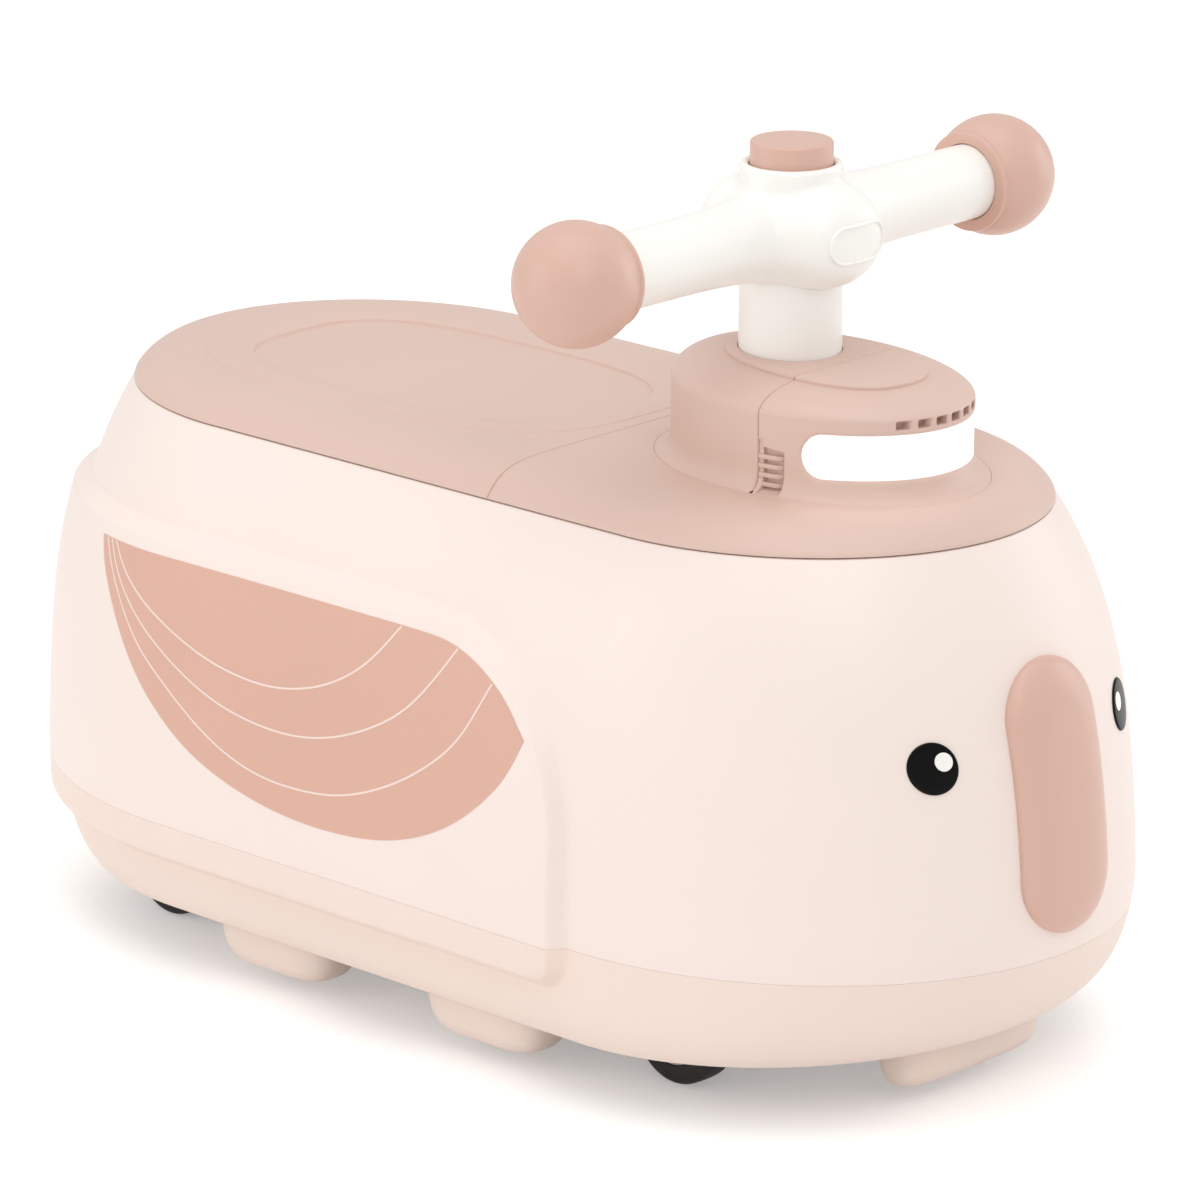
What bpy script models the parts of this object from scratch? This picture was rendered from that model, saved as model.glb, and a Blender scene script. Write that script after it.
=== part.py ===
"""A child's ride-on toy with a storage seat, a steering handlebar and a lamp housing.

Metres, +Z up, the toy faces +X and rolls on the plane z = 0.
"""
import math

import bmesh
import bpy
from mathutils import Matrix, Vector

# Fits shared by neighbouring pieces
GAP = 0.0003
RUN = 0.0005
WALL = 0.003

# Plan outline of the rim where the lid meets the body
HALF_STRAIGHT = 0.137
NOSE_REACH = 0.127
TAIL_REACH = 0.132
HALF_WIDTH = 0.117
RIM_ROUND = 1.95
BODY_ROUND = 1.98

# Heights of the body
RIM_Z = 0.271
SEAM_Z = 0.080
BASE_Z = 0.0325
BULGE_Z = 0.090

# How far the wall swells outside the rim outline, and how fast it gets there
NOSE_BULGE = 0.0437
TAIL_BULGE = 0.0390
SIDE_BULGE = 0.0366
LEAN = 0.006
END_POWER = 2.6
SIDE_POWER = 4.2

# How far the wall tucks in again under the seam, and the height that takes
NOSE_TUCK = 0.052
NOSE_TUCK_RISE = 0.069
TAIL_TUCK = 0.030
TAIL_TUCK_RISE = 0.042
SIDE_TUCK = 0.010
SIDE_TUCK_RISE = 0.024
TUCK_DROP = 0.002

# Raised panel round the sides and the tail
PANEL_PROUD = 0.008
PANEL_BLEND = 0.007
PANEL_FRONT_X = 0.135
PANEL_TOP_Z = 0.226
PANEL_FOOT_Z = 0.0575
PANEL_TOP_RADIUS = 0.095
PANEL_FOOT_RADIUS = 0.015

# Upper shell
LEDGE_REACH = 0.009
LEDGE_THICK = 0.0025
LEDGE_DROP = 0.0075
POST_RADIUS = 0.006
POST_TOP_Z = 0.112
RIB_THICK = 0.0025

# Lower chassis
TONGUE_RISE = 0.006
TONGUE_THICK = 0.0018
LIP_WIDTH = 0.004
FLOOR_RAISE = 0.006
FLOOR_THICK = 0.003
FOOT_CLEAR_Z = 0.009
FOOT_LENGTH = 0.088
FOOT_WIDTH = 0.034
FOOT_Y = 0.123
FOOT_ROUND_IN = 0.014
FOOT_CORNER = 3.0
SIDE_FOOT_X = (-0.076, 0.067)
END_FOOT_WIDTH = 0.096
END_FOOT_LENGTH = 0.034
NOSE_FOOT_AHEAD = 0.105
TAIL_FOOT_BEHIND = 0.121

# Lid and front cover
SHOULDER_HEIGHT = 0.0142
SHOULDER_FALL = 0.0095
EDGE_RISE = 0.0014
CROWN_FLAT_INSET = 0.060
SPLIT_X = 0.049
SKIRT_DEPTH = 0.0040
SKIRT_THICK = 0.0018
SKIRT_INSET = 0.0036

# Seat dish
DISH_X = -0.092
DISH_HALF_LENGTH = 0.117
DISH_HALF_WIDTH = 0.0625
DISH_SLOPE = 0.012
DISH_DEPTH = 0.0022
DISH_ROUND = 2.6

# Lid hinge
HINGE_BACK = 0.0035
HINGE_DROP = 0.0020
KNUCKLE_RADIUS = 0.0036
PIN_RADIUS = 0.0015
NECK_LIFT = 0.001
NECK_EDGE = 0.0004
MIDDLE_KNUCKLE = 0.024
SIDE_KNUCKLE = 0.014

# Storage tub
TUB_FRONT_BEHIND = 0.019
TUB_BACK_BEHIND = 0.085
TUB_HALF_WIDTH = 0.086
TUB_FLOOR_Z = 0.098
TUB_TAPER = 0.010
TUB_WALL = 0.0025
TUB_ROUND = 5.0
FLANGE_THICK = 0.0020
FLANGE_INSET = 0.0042

# Steering axis and shaft
STEER_X = 0.133
SHAFT_RADIUS = 0.005
SHAFT_FOOT_Z = 0.0080
COLUMN_RADIUS = 0.0243
COLUMN_WALL = 0.003
COLUMN_FOOT_Z = 0.300
COLUMN_WEB = 0.004

# Steering housing
HOUSE_X = 0.1533
HOUSE_HALF_LENGTH = 0.0786
HOUSE_HALF_WIDTH = 0.0600
HOUSE_SPLIT_X = 0.1665
HOUSE_SHOULDER_Z = 0.3235
HOUSE_DOME = 0.0150
HOUSE_DOME_REACH = 0.030
HOUSE_LEAN = 0.0060
FLARE_HALF_LENGTH = 0.0880
FLARE_HALF_WIDTH = 0.0655
FLARE_HEIGHT = 0.012
FLARE_EDGE = 0.0020
RECESS_FLOOR_Z = 0.2805
RECESS_FLOOR_THICK = 0.003
LEAF_X = 0.1555
LEAF_HALF_LENGTH = 0.054
LEAF_HALF_WIDTH = 0.035
LEAF_ROUND = 2.3
LEAF_PROUD = 0.0018
LEAF_EDGE = 0.0008

# Lamp, slots and louvres
LAMP_Z = 0.3068
LAMP_HEIGHT = 0.0215
LAMP_REACH = 0.0736
LENS_THICK = 0.0022
SLOT_Z = 0.3220
SLOT_HEIGHT = 0.0045
SLOT_WIDTH = 0.0070
SLOT_PITCH = 0.0096
SLOT_COUNT = 6
LOUVRE_COUNT = 5
LOUVRE_LENGTH = 0.0112
LOUVRE_SETBACK = 0.0025
LOUVRE_GAP = 0.0024
LOUVRE_PITCH = 0.00425
LOUVRE_Z = 0.3010

# Pieces inside the housing
BUSH_HEIGHT = 0.012
BUSH_THICK = 0.004
COLLAR_THICK = 0.0025
CELL_RADIUS = 0.0071
CELL_LENGTH = 0.050
CELL_X = 0.1885
TRAY_WALL = 0.0015
SPEAKER_RADIUS = 0.018
SPEAKER_HEIGHT = 0.011
CONE_Z = 0.0077
DUST_CAP_RADIUS = 0.0054
MAGNET_RADIUS = 0.0108
MAGNET_HEIGHT = 0.0044
BOARD_X = 0.2200
BOARD_HALF_WIDTH = 0.026
BOARD_THICK = 0.0016
BOARD_HEIGHT = 0.034
LED_RADIUS = 0.0025
LED_PITCH = 0.0182

# Handlebar
BAR_Z = 0.395
BAR_RADIUS = 0.018
BAR_FLARE = 0.0055
BAR_FLARE_SPREAD = 0.036
BAR_STEPS = 12
BAR_CROWDING = 1.5
HUB_HALF_LENGTH = 0.043
HUB_HALF_WIDTH = 0.032
HUB_HALF_HEIGHT = 0.0265
HUB_ROUND = 3.0
HUB_STATIONS = (0.25, 0.45, 0.65, 0.80, 0.92)
COLLAR_RISE = 0.0320
COLLAR_RADIUS = 0.0243
COLLAR_EDGE = 0.002
SOCKET_DEPTH = 0.012
PLATE_LENGTH = 0.0375
PLATE_HEIGHT = 0.019
PLATE_PROUD = 0.0012
PLATE_STEPS = 6

# Grips
GRIP_Y = 0.145
GRIP_RADIUS = 0.0292
GRIP_COLLAR_RADIUS = 0.0245
GRIP_COLLAR_Y = 0.1235
GRIP_EDGE = 0.001
GRIP_BORE_DEPTH = 0.037
GRIP_STEPS = 9

# Horn button
BUTTON_RADIUS = 0.0195
BUTTON_PROUD = 0.0102
BUTTON_EDGE = 0.002
BUTTON_TRAVEL = 0.0035
BUTTON_CEILING = 0.005
BUTTON_WALL = 0.0025
BUTTON_STEM = 0.0020
SWITCH_EDGE = 0.001
STEM_RADIUS = 0.0025
SWITCH_THICK = 0.0018
SWITCH_STEM = 0.0022
SPRING_RADIUS = 0.009
SPRING_WIRE = 0.0006
SPRING_TURNS = 3
WELL_DEPTH = 0.0237
SHAFT_COVER = 0.009

# Wheels and axles
WHEEL_RADIUS = 0.0255
WHEEL_WIDTH = 0.020
WHEEL_Y = 0.086
WHEEL_HUB_RADIUS = 0.0150
TYRE_ROUND = 0.004
HUB_RIM = 0.0025
HUB_DISH = 0.003
AXLE_RADIUS = 0.003
AXLE_END = 0.0045
CAP_RADIUS = 0.006
CAP_THICK = 0.0025
FRONT_AXLE_AHEAD = 0.015
REAR_AXLE_BEHIND = 0.0605
WHEEL_ROOM = 0.006
WHEEL_SIDE_ROOM = 0.0025
STEER_DEGREES = 30
SADDLE_WIDTH = 0.010
SADDLE_LENGTH = 0.018
CARRIER_BOSS = 0.016
CARRIER_HEIGHT = 0.020
NUT_RADIUS = 0.009
NUT_SIDES = 6
BUSH_FLANGE = 0.0016
BUSH_WALL = 0.0025

# Trunk and eyes on the nose
TRUNK_Z = 0.1557
TRUNK_HALF_HEIGHT = 0.0640
TRUNK_HALF_WIDTH = 0.0288
TRUNK_PROUD = 0.0088
TRUNK_ROUND = 0.020
TRUNK_EDGE = 0.001
TRUNK_BACK_SHARES = (0.12, 0.4, 0.7, 1.0)
TRUNK_STEPS = 10
TRUNK_SIDE_STEPS = 5
EYE_Y = 0.0660
EYE_Z = 0.1800
EYE_RADIUS = 0.0120
EYE_PROUD = 0.0010
EYE_EDGE = 0.0018
EYE_MIDDLE = 0.0036
EYE_SQUASH = 0.91
GLINT_RADIUS = 0.0043
GLINT_SHIFT_Y = 0.0045
GLINT_SHIFT_Z = 0.0028
GLINT_PROUD = 0.0004

# Screws that hold the chassis to the upper shell
SCREW_X = (-0.150, -0.005, 0.150)
SCREW_Y = 0.134
SCREW_RADIUS = 0.0018
SCREW_HEAD = 0.0040
SCREW_HEAD_HEIGHT = 0.0024
SCREW_LENGTH = 0.024

# Facets round curved outlines
END_STEPS = 7
STRAIGHT_STEPS = 2
OVAL_STEPS = 32
TUB_STEPS = 40
TURN_STEPS = 20
WHEEL_STEPS = 20
ROUND_STEPS = 14
SMALL_STEPS = 8
SHAFT_STEPS = 16
CROWN_STEPS = 6

# Heights and places that follow from the sizes above
LEDGE_Z = RIM_Z - LEDGE_DROP
FLOOR_Z = BASE_Z + FLOOR_RAISE
FLOOR_TOP_Z = FLOOR_Z + FLOOR_THICK
LID_Z = RIM_Z + GAP
HINGE_X = -(HALF_STRAIGHT + TAIL_REACH) + HINGE_BACK
HINGE_Z = RIM_Z - HINGE_DROP
FRONT_AXLE_X = STEER_X + FRONT_AXLE_AHEAD
REAR_AXLE_X = -HALF_STRAIGHT - REAR_AXLE_BEHIND
NOSE_FOOT_X = HALF_STRAIGHT + NOSE_FOOT_AHEAD
TAIL_FOOT_X = -HALF_STRAIGHT - TAIL_FOOT_BEHIND
TUB_FRONT_X = SPLIT_X - TUB_FRONT_BEHIND
TUB_BACK_X = -HALF_STRAIGHT - TUB_BACK_BEHIND
AXLE_Z = WHEEL_RADIUS
WELL_TOP_Z = 2 * WHEEL_RADIUS + WHEEL_ROOM
AXLE_HALF = WHEEL_Y + WHEEL_WIDTH / 2 + AXLE_END
STEER_SWEEP = math.hypot(FRONT_AXLE_AHEAD + WHEEL_RADIUS, WHEEL_Y + WHEEL_WIDTH / 2)
WELL_RADIUS = STEER_SWEEP + WHEEL_SIDE_ROOM
BUSH_OUTER = SHAFT_RADIUS + RUN + BUSH_WALL
COLLAR_TOP_Z = BAR_Z + COLLAR_RISE
BUTTON_TOP_Z = COLLAR_TOP_Z + BUTTON_PROUD
WELL_FLOOR_Z = COLLAR_TOP_Z - WELL_DEPTH
SWITCH_Z = WELL_FLOOR_Z + GAP
STEM_Z = SWITCH_Z + SWITCH_THICK + SWITCH_STEM
SHAFT_TOP_Z = WELL_FLOOR_Z - SHAFT_COVER
BUSH_TOP_Z = HOUSE_SHOULDER_Z + HOUSE_DOME - HOUSE_LEAN - WALL

TOY = bpy.data.collections.new("ride_on_toy")
CUTTERS = bpy.data.collections.new("cutters")


def clear_scene():
    for existing in list(bpy.data.objects):
        bpy.data.objects.remove(existing, do_unlink=True)
    bpy.context.scene.collection.children.link(TOY)
    bpy.context.scene.collection.children.link(CUTTERS)


def finish(name, hex_colour, roughness, metallic=0.0, transmission=0.0):
    """A Principled material from an sRGB colour."""
    material = bpy.data.materials.new(name)
    material.use_nodes = True
    shader = material.node_tree.nodes["Principled BSDF"]
    channels = [int(hex_colour[i:i + 2], 16) / 255 for i in (0, 2, 4)]
    linear = [c / 12.92 if c <= 0.04045 else ((c + 0.055) / 1.055) ** 2.4 for c in channels]
    shader.inputs["Base Color"].default_value = (*linear, 1.0)
    shader.inputs["Roughness"].default_value = roughness
    shader.inputs["Metallic"].default_value = metallic
    shader.inputs["Transmission Weight"].default_value = transmission
    return material


def add(name, mesh, material=None, collection=TOY):
    piece = bpy.data.objects.new(name, mesh)
    collection.objects.link(piece)
    if material and not mesh.materials:
        mesh.materials.append(material)
    mesh.shade_smooth()
    mesh.set_sharp_from_angle(angle=math.radians(32))
    return piece


def as_cutter(piece):
    """Keep a helper solid out of the toy itself."""
    for home in list(piece.users_collection):
        home.objects.unlink(piece)
    CUTTERS.objects.link(piece)
    piece.hide_render = True
    piece.display_type = "WIRE"
    return piece


def combine(piece, tool, operation):
    as_cutter(tool)
    step = piece.modifiers.new(f"{operation.lower()}_{tool.name}", "BOOLEAN")
    step.operation = operation
    step.solver = "EXACT"
    step.object = tool


def cut(piece, *tools):
    for tool in tools:
        combine(piece, tool, "DIFFERENCE")


def join(piece, *tools):
    for tool in tools:
        combine(piece, tool, "UNION")


def ride(piece, parent):
    """Parent a piece to the empty on its joint's axis, where it already is."""
    piece.parent = parent
    piece.matrix_parent_inverse = Matrix.Translation(-parent.location)
    return piece


def pivot(name, at, parent=None):
    empty = bpy.data.objects.new(name, None)
    empty.location = at
    empty.empty_display_size = 0.02
    TOY.objects.link(empty)
    if parent:
        empty.parent = parent
        empty.matrix_parent_inverse = Matrix.Translation(-parent.location)
    return empty


def strip(count, crest, start):
    """Faces that close a ring across its line of symmetry, from the point after its crest."""
    faces = []
    for j in range(count // 2 - 1):
        right, left = (crest - 1 - j) % count, (crest + j) % count
        faces.append((start + right, start + (right - 1) % count, start + (left + 1) % count, start + left))
    return faces


def loft(name, rings, material=None, closed=False, crest=0):
    """Skin a stack of rings, capped at both ends or closed round on itself."""
    count = len(rings[0])
    points = [point for ring in rings for point in ring]
    faces = []
    for a in range(len(rings) if closed else len(rings) - 1):
        b = (a + 1) % len(rings)
        for i in range(count):
            j = (i + 1) % count
            faces.append((a * count + i, a * count + j, b * count + j, b * count + i))
    last = (len(rings) - 1) * count
    if crest:
        faces += strip(count, crest, 0) + strip(count, crest, last)
    elif not closed:
        faces.append(tuple(range(count)))
        faces.append(tuple(range(last, last + count)))
    mesh = bpy.data.meshes.new(name)
    mesh.from_pydata(points, [], faces)
    shape = bmesh.new()
    shape.from_mesh(mesh)
    bmesh.ops.recalc_face_normals(shape, faces=shape.faces)
    shape.to_mesh(mesh)
    shape.free()
    return add(name, mesh, material)


def block(name, low, high, material=None):
    """A box between two corners."""
    shape = bmesh.new()
    size = Vector(high) - Vector(low)
    centre = (Vector(high) + Vector(low)) / 2
    bmesh.ops.create_cube(shape, size=1.0, matrix=Matrix.Translation(centre) @ Matrix.Diagonal((*size, 1)))
    mesh = bpy.data.meshes.new(name)
    shape.to_mesh(mesh)
    shape.free()
    return add(name, mesh, material)


def rod(name, start, end, radius, material=None, steps=SMALL_STEPS):
    """A cylinder between two points."""
    start, end = Vector(start), Vector(end)
    turn = (end - start).to_track_quat("Z", "Y").to_matrix().to_4x4()
    shape = bmesh.new()
    bmesh.ops.create_cone(shape, cap_ends=True, segments=steps, radius1=radius, radius2=radius,
                          depth=(end - start).length, matrix=Matrix.Translation((start + end) / 2) @ turn)
    mesh = bpy.data.meshes.new(name)
    shape.to_mesh(mesh)
    shape.free()
    return add(name, mesh, material)


def turned(name, profile, at, material=None, along_y=False, steps=TURN_STEPS, bored=False):
    """Spin a profile of (radius, height) points, listed down the outer side."""
    mesh = bpy.data.meshes.new(name)
    edges = [(i, i + 1) for i in range(len(profile) - 1)]
    if bored:
        edges.append((len(profile) - 1, 0))
    mesh.from_pydata([(radius, 0, height) for radius, height in profile], edges, [])
    piece = add(name, mesh, material)
    piece.location = at
    if along_y:
        piece.rotation_euler = (math.radians(-90), 0, 0)
    spin = piece.modifiers.new("spin", "SCREW")
    spin.steps = spin.render_steps = steps
    spin.use_merge_vertices = True
    spin.merge_threshold = 0.00001
    spin.use_smooth_shade = True
    return piece


def shares(count):
    return [i / count for i in range(count + 1)]


def oval(centre_x, half_length, half_width, z, power=2.0, steps=OVAL_STEPS):
    """A closed superellipse at one height, which may be a number or a function of x."""
    ring = []
    for i in range(steps):
        angle = 2 * math.pi * i / steps
        c, s = math.cos(angle), math.sin(angle)
        x = centre_x + half_length * math.copysign(abs(c) ** (2 / power), c)
        y = half_width * math.copysign(abs(s) ** (2 / power), s)
        ring.append((x, y, z(x) if callable(z) else z))
    return ring


def bulge(z, widest, power):
    """Reach of the wall outside the rim outline at a height."""
    share = min(max((z - BULGE_Z) / (RIM_Z - BULGE_Z), 0.0), 1.0)
    return LEAN * (1 - share) + (widest - LEAN) * (1 - share ** power)


def tuck(z, depth, rise):
    """Quarter ellipse by which the wall draws in near the ground."""
    share = min(max((BASE_Z - TUCK_DROP + rise - z) / rise, 0.0), 1.0)
    return depth * (1 - math.sqrt(1 - share ** 2))


def reaches(z, inset):
    """Half axes of the nose, tail and side at a height, without the panel."""
    nose = NOSE_REACH + bulge(z, NOSE_BULGE, END_POWER) - tuck(z, NOSE_TUCK, NOSE_TUCK_RISE)
    tail = TAIL_REACH + bulge(z, TAIL_BULGE, END_POWER) - tuck(z, TAIL_TUCK, TAIL_TUCK_RISE)
    side = HALF_WIDTH + bulge(z, SIDE_BULGE, SIDE_POWER) - tuck(z, SIDE_TUCK, SIDE_TUCK_RISE)
    return nose - inset, tail - inset, side - inset


def roundness(z):
    share = min(max((z - BULGE_Z) / (RIM_Z - BULGE_Z), 0.0), 1.0)
    return BODY_ROUND + (RIM_ROUND - BODY_ROUND) * share ** 4


def corner_depth(ahead, inward, radius):
    """Distance inside a rounded corner, from the distances inside its two sides."""
    if ahead < radius and inward < radius:
        return radius - math.hypot(radius - ahead, radius - inward)
    return min(ahead, inward)


def panel_height(x, z):
    ahead = PANEL_FRONT_X - x
    depth = min(corner_depth(ahead, PANEL_TOP_Z - z, PANEL_TOP_RADIUS),
                corner_depth(ahead, z - PANEL_FOOT_Z, PANEL_FOOT_RADIUS))
    share = min(max(depth / PANEL_BLEND, 0.0), 1.0)
    return PANEL_PROUD * share * share * (3 - 2 * share)


def panel_edge_x(z):
    """Front edge of the panel at a height, round its two corners."""
    for radius, inward in ((PANEL_TOP_RADIUS, PANEL_TOP_Z - z), (PANEL_FOOT_RADIUS, z - PANEL_FOOT_Z)):
        if inward < radius:
            rise = radius - max(inward, 0.0)
            return PANEL_FRONT_X - radius + math.sqrt(radius ** 2 - rise ** 2)
    return PANEL_FRONT_X


def body_ring(z, inset=0.0):
    """Outline of the body at a height: nose arc, side with the panel's step, tail arc."""
    nose, tail, side = reaches(z, inset)
    power = 2 / roundness(z)
    half = []
    for share in shares(END_STEPS):
        angle = share * math.pi / 2
        half.append((HALF_STRAIGHT + nose * math.cos(angle) ** power, side * math.sin(angle) ** power))
    edge = panel_edge_x(z)
    stations = [edge, edge - PANEL_BLEND / 2, edge - PANEL_BLEND]
    stations += [edge - PANEL_BLEND - (edge - PANEL_BLEND + HALF_STRAIGHT) * share
                 for share in shares(STRAIGHT_STEPS)[1:-1]]
    half += [(x, side + panel_height(x, z)) for x in stations]
    back = panel_height(-HALF_STRAIGHT, z)
    for share in shares(END_STEPS):
        angle = share * math.pi / 2
        half.append((-HALF_STRAIGHT - (tail + back) * math.sin(angle) ** power,
                     (side + back) * math.cos(angle) ** power))
    half[0] = (half[0][0], 0.0)
    half[-1] = (half[-1][0], 0.0)
    mirrored = [(x, -y) for x, y in reversed(half[1:-1])]
    return [(x, y, z) for x, y in half + mirrored]


def rim_ring(z, inset=0.0):
    """The rim's outline drawn in by an inset, at a height or at one that the inset sets."""
    power = 2 / RIM_ROUND
    nose, tail, side = NOSE_REACH - inset, TAIL_REACH - inset, HALF_WIDTH - inset
    quarter = [share * math.pi / 2 for share in shares(END_STEPS)]
    half = [(HALF_STRAIGHT + nose * math.cos(a) ** power, side * math.sin(a) ** power) for a in quarter]
    half += [(-HALF_STRAIGHT - tail * math.sin(a) ** power, side * math.cos(a) ** power) for a in quarter]
    half[0] = (half[0][0], 0.0)
    half[-1] = (half[-1][0], 0.0)
    mirrored = [(x, -y) for x, y in reversed(half[1:-1])]
    return [(x, y, z) for x, y in half + mirrored]


def crown(inset):
    """Height of the lid's top above the rim at a distance in from its edge."""
    return SHOULDER_HEIGHT * (1 - math.exp(-inset / SHOULDER_FALL))


def nose_point(y, z, proud=0.0):
    """A point on the nose's wall, raised along the wall's own direction."""
    def on_wall(across, up):
        nose, _, side = reaches(up, 0.0)
        power = roundness(up)
        ahead = nose * (1 - (abs(across) / side) ** power) ** (1 / power)
        return Vector((HALF_STRAIGHT + ahead, across, up))
    here = on_wall(y, z)
    step = RUN
    slope_y = on_wall(y + step, z) - on_wall(y - step, z)
    slope_z = on_wall(y, z + step) - on_wall(y, z - step)
    return here + slope_y.cross(slope_z).normalized() * proud


def side_wall_y(x, z):
    """Half width of the body's outside at a place along it."""
    nose, tail, side = reaches(z, 0.0)
    reach, beyond = (nose, x - HALF_STRAIGHT) if x > 0 else (tail, -x - HALF_STRAIGHT)
    power = roundness(z)
    return side * (1 - (max(beyond, 0.0) / reach) ** power) ** (1 / power) + panel_height(x, z)


def panel_top_heights():
    """Heights that follow the panel's top corner, top to bottom."""
    blend = [PANEL_TOP_Z, PANEL_TOP_Z - PANEL_BLEND / 2, PANEL_TOP_Z - PANEL_BLEND]
    start = math.acos(1 - PANEL_BLEND / PANEL_TOP_RADIUS)
    turns = [start + (math.pi / 2 - start) * share for share in shares(4)[1:]]
    return blend + [PANEL_TOP_Z - PANEL_TOP_RADIUS * (1 - math.cos(turn)) for turn in turns]


def make_upper_shell(plastic):
    seam = SEAM_Z + GAP
    drop = (RIM_Z - PANEL_TOP_Z) / 4
    outer = [RIM_Z - drop * i for i in range(4)] + panel_top_heights() + [seam]
    inner = [seam, BULGE_Z, PANEL_TOP_Z - PANEL_TOP_RADIUS, PANEL_TOP_Z - PANEL_BLEND, PANEL_TOP_Z]
    inner.append(RIM_Z - 2 * drop)
    rings = [body_ring(z) for z in outer]
    rings += [body_ring(z, WALL) for z in inner]
    rings += [body_ring(LEDGE_Z - LEDGE_THICK, WALL), body_ring(LEDGE_Z - LEDGE_THICK, WALL + LEDGE_REACH)]
    rings += [body_ring(LEDGE_Z, WALL + LEDGE_REACH), body_ring(LEDGE_Z, WALL), body_ring(RIM_Z, WALL)]
    shell = loft("upper_shell", rings, plastic, closed=True)
    for x in SCREW_X:
        for side in (-1, 1):
            label = f"{'left' if side > 0 else 'right'}_{SCREW_X.index(x)}"
            y = side * SCREW_Y
            wall = side * (side_wall_y(x, POST_TOP_Z) - WALL / 2)
            foot = SEAM_Z + TONGUE_RISE + WALL
            post = rod(f"post_{label}", (x, y, FLOOR_TOP_Z + GAP), (x, y, POST_TOP_Z), POST_RADIUS)
            rib = block(f"rib_{label}", (x - RIB_THICK / 2, min(y, wall), foot),
                        (x + RIB_THICK / 2, max(y, wall), POST_TOP_Z - WALL))
            bore = rod(f"post_bore_{label}", (x, y, FLOOR_Z - WALL), (x, y, FLOOR_Z + SCREW_LENGTH + WALL),
                       SCREW_RADIUS + GAP)
            join(shell, post, rib)
            cut(shell, bore)
    hinge_on_shell(shell)
    return shell


def hinge_on_shell(shell):
    """Middle knuckle on the rear rim, and room for the lid's two knuckles beside it."""
    half = MIDDLE_KNUCKLE / 2
    knuckle = rod("shell_knuckle", (HINGE_X, -half, HINGE_Z), (HINGE_X, half, HINGE_Z), KNUCKLE_RADIUS,
                  steps=ROUND_STEPS)
    bore = rod("shell_pin_bore", (HINGE_X, -half - WALL, HINGE_Z), (HINGE_X, half + WALL, HINGE_Z),
               PIN_RADIUS + GAP)
    room = KNUCKLE_RADIUS + 2 * RUN
    for side in (-1, 1):
        near, far = side * half, side * (half + SIDE_KNUCKLE + 2 * RUN)
        notch = rod(f"knuckle_room_{'left' if side > 0 else 'right'}", (HINGE_X, near, HINGE_Z),
                    (HINGE_X, far, HINGE_Z), room, steps=ROUND_STEPS)
        cut(shell, notch)
    join(shell, knuckle)
    cut(shell, bore)


def make_chassis(plastic):
    seam = SEAM_Z - GAP
    corner = [PANEL_FOOT_Z, PANEL_FOOT_Z + PANEL_BLEND / 2, PANEL_FOOT_Z + PANEL_BLEND,
              PANEL_FOOT_Z + PANEL_FOOT_RADIUS]
    fall = PANEL_FOOT_Z - BASE_Z
    below = [PANEL_FOOT_Z - fall * math.sin(math.pi / 2 * share) for share in shares(4)[1:]]
    climb = sorted(below + corner + [seam])
    outside = [body_ring(FLOOR_Z, 2 * LIP_WIDTH), body_ring(BASE_Z, LIP_WIDTH)]
    outside += [body_ring(z) for z in climb]
    lap = WALL + GAP
    tongue = [body_ring(seam, lap), body_ring(seam + TONGUE_RISE, lap),
              body_ring(seam + TONGUE_RISE, lap + TONGUE_THICK), body_ring(seam - WALL, lap + TONGUE_THICK)]
    heights = [seam - 2 * WALL, PANEL_FOOT_Z + PANEL_BLEND, PANEL_FOOT_Z]
    heights += [(PANEL_FOOT_Z + FLOOR_TOP_Z) / 2, FLOOR_TOP_Z]
    inside = [body_ring(z, WALL) for z in heights]
    chassis = loft("lower_chassis", outside + tongue + inside, plastic)
    add_feet(chassis)
    add_wells(chassis)
    for x in SCREW_X:
        for side in (-1, 1):
            y = side * SCREW_Y
            label = f"{'left' if side > 0 else 'right'}_{SCREW_X.index(x)}"
            cut(chassis, rod(f"floor_bore_{label}", (x, y, BASE_Z), (x, y, FLOOR_TOP_Z + WALL),
                             SCREW_RADIUS + GAP))
    return chassis


def foot(name, x, y, length, width):
    """A skid foot: an oval block that rounds in towards the ground."""
    top = FLOOR_Z + FLOOR_THICK / 2
    rings = []
    for share in shares(4):
        angle = share * math.pi / 2
        inset = FOOT_ROUND_IN * (1 - math.cos(angle))
        z = top - (top - FOOT_CLEAR_Z) * math.sin(angle)
        inward = inset * width / (length + width)
        ring = oval(x, length / 2 - inset, width / 2 - inward, z, FOOT_CORNER, ROUND_STEPS)
        rings.append([(px, py + y, pz) for px, py, pz in ring])
    return loft(name, rings)


def add_feet(chassis):
    for index, x in enumerate(SIDE_FOOT_X):
        for side in (-1, 1):
            label = f"side_foot_{'left' if side > 0 else 'right'}_{index}"
            join(chassis, foot(label, x, side * FOOT_Y, FOOT_LENGTH, FOOT_WIDTH))
    join(chassis, foot("nose_foot", NOSE_FOOT_X, 0, END_FOOT_LENGTH, END_FOOT_WIDTH))
    join(chassis, foot("tail_foot", TAIL_FOOT_X, 0, END_FOOT_LENGTH, END_FOOT_WIDTH))


def disc_with_flat(name, radius, low, high, front):
    """An upright drum round the steering axis, cut flat ahead of the wheels."""
    drum = rod(name, (STEER_X, 0, low), (STEER_X, 0, high), radius, steps=OVAL_STEPS)
    cut(drum, block(f"{name}_flat", (front, -2 * radius, low - WALL),
                    (front + radius, 2 * radius, high + WALL)))
    return drum


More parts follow.
